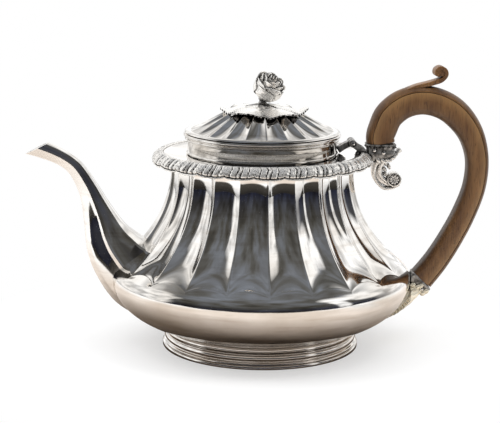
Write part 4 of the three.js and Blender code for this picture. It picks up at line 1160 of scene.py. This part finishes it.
def makeWorld():
    # white card behind and at the sides, tall windows, a dark room in front and a grey ceiling
    world = bpy.data.worlds.new("studio")
    scene.world = world
    world.use_nodes = True
    tree = world.node_tree
    place = addNode(tree, "TexCoord", out="Generated")
    y = addNode(tree, "SeparateXYZ", [place], out="Y")
    z = addNode(tree, "SeparateXYZ", [place], out="Z")

    def facing(direction):
        towards = Vector(direction).normalized()
        return addNode(tree, "VectorMath", [place, towards], out="Value", operation="DOT_PRODUCT")

    def roundCard(direction, core, edge):
        # core and edge are in degrees from the card's middle
        edges = [cos(radians(edge)), cos(radians(core)), 0.0, 1.0]
        return addNode(tree, "MapRange", [facing(direction), *edges], interpolation_type="SMOOTHSTEP")

    def tallWindow(azimuth, halfWidth, top):
        a = radians(azimuth)
        sideways = addNode(tree, "Math", [facing((cos(a), sin(a), 0))], operation="ABSOLUTE")
        edges = [sin(radians(halfWidth + 2)), sin(radians(halfWidth)), 0, 1]
        narrow = addNode(tree, "MapRange", [sideways, *edges])
        ahead = addNode(tree, "MapRange", [facing((sin(a), -cos(a), 0)), 0.0, 0.1, 0, 1])
        upright = addNode(tree, "Math", [narrow, ahead], operation="MULTIPLY")
        below = addNode(tree, "MapRange", [z, top + 0.1, top, 0, 1])
        return addNode(tree, "Math", [upright, below], operation="MULTIPLY")

    rising = addNode(tree, "MapRange", [z, 0.0, 0.5, 0, 1])
    low = addNode(tree, "Mix", {0: rising, 6: studio["darkFloor"], 7: studio["darkWall"]}, **asColour)
    overhead = addNode(tree, "MapRange", [z, 0.5, 0.95, 0, 1])
    plainRoom = addNode(tree, "Mix", {0: overhead, 6: low, 7: studio["ceiling"]}, **asColour)
    # furniture and folds in the dark room
    clutter = addNode(tree, "TexNoise", {"Scale": 3.4, "Detail": 3.0, "Vector": place})
    shade = addNode(tree, "MapRange", [clutter, 0.32, 0.68, 0.55, 1.75])
    cooler = addNode(tree, "MapRange", [clutter, 0.38, 0.6, 0, 1])
    tint = addNode(tree, "Mix", {0: cooler, 6: studio["warm"], 7: studio["cool"]}, **asColour)
    tinted = addNode(tree, "VectorMath", [plainRoom, tint], operation="MULTIPLY")
    room = addNode(tree, "VectorMath", [tinted, shade], operation="MULTIPLY")
    behind = addNode(tree, "MapRange", [y, 0.0, 0.42, 0, 1])
    lowEnough = addNode(tree, "MapRange", [z, 0.64, 0.86, 1, 0])
    lit = addNode(tree, "Math", [behind, lowEnough], operation="MULTIPLY")
    for card in (
        roundCard((-0.8, 0.2, 0.56), 9, 17), roundCard((-1.0, 0.02, 0.2), 8, 20),
        roundCard((0.66, -0.22, 0.71), 7, 14),
        tallWindow(studio["windowSide"], 4, 0.6), tallWindow(-86, 5, 0.62),
        roundCard((0.82, 0.1, 0.56), 12, 22),
    ):
        lit = addNode(tree, "Math", [lit, card], operation="MAXIMUM")
    uneven = addNode(tree, "TexNoise", {"Scale": 5.0, "Detail": 2.0, "Vector": place})
    cardTone = addNode(tree, "MapRange", [uneven, 0.36, 0.6, 0.72, 1.3])
    mirrored = addNode(tree, "Mix", {0: lit, 6: room, 7: cardTone}, **asColour)
    fromCamera = addNode(tree, "LightPath", out="Is Camera Ray")
    seen = addNode(tree, "Mix", {0: fromCamera, 6: mirrored, 7: studio["white"]}, **asColour)
    tree.links.new(seen, tree.nodes["Background"].inputs["Color"])


def addLight(name, azimuth, elevation, distance, width, height, power):
    # a soft box turned to the pot, which the silver doesn't mirror
    a, e = radians(azimuth), radians(elevation)
    away = Vector((sin(a) * cos(e), -cos(a) * cos(e), sin(e)))
    light = bpy.data.lights.new(name, "AREA")
    light.shape, light.size, light.size_y, light.energy = "RECTANGLE", width, height, power
    lamp = bpy.data.objects.new(name, light)
    lamp.location = away * distance + Vector((0, 0, 0.08))
    lamp.rotation_mode = "QUATERNION"
    lamp.rotation_quaternion = away.to_track_quat("Z", "Y")
    lamp.visible_glossy = False
    scene.collection.objects.link(lamp)


def makeCamera():
    camera = bpy.data.objects.new("camera", bpy.data.cameras.new("camera"))
    camera.data.lens, camera.data.sensor_width = studio["lens"], studio["sensor"]
    camera.data.clip_start, camera.data.clip_end = 0.01, 50
    camera.location = Vector(studio["place"]) * mm
    ahead = (Vector(studio["aim"]) - Vector(studio["place"])).normalized()
    turn = ahead.to_track_quat("-Z", "Y").to_matrix().to_4x4() @ Matrix.Rotation(radians(studio["roll"]),
                                                                                 4, "Z")
    camera.rotation_mode = "QUATERNION"
    camera.rotation_quaternion = turn.to_quaternion()
    scene.collection.objects.link(camera)
    scene.camera = camera


makeFloor()
makeWorld()
addLight("right_box", 52, 58, 1.3, 0.42, 0.5, 3.2)
addLight("left_box", -76, 52, 1.3, 0.6, 0.6, 5.5)
addLight("ceiling", 0, 86, 1.6, 1.8, 1.8, 22)
makeCamera()
scene.view_settings.view_transform = "Standard"
print("studio set")
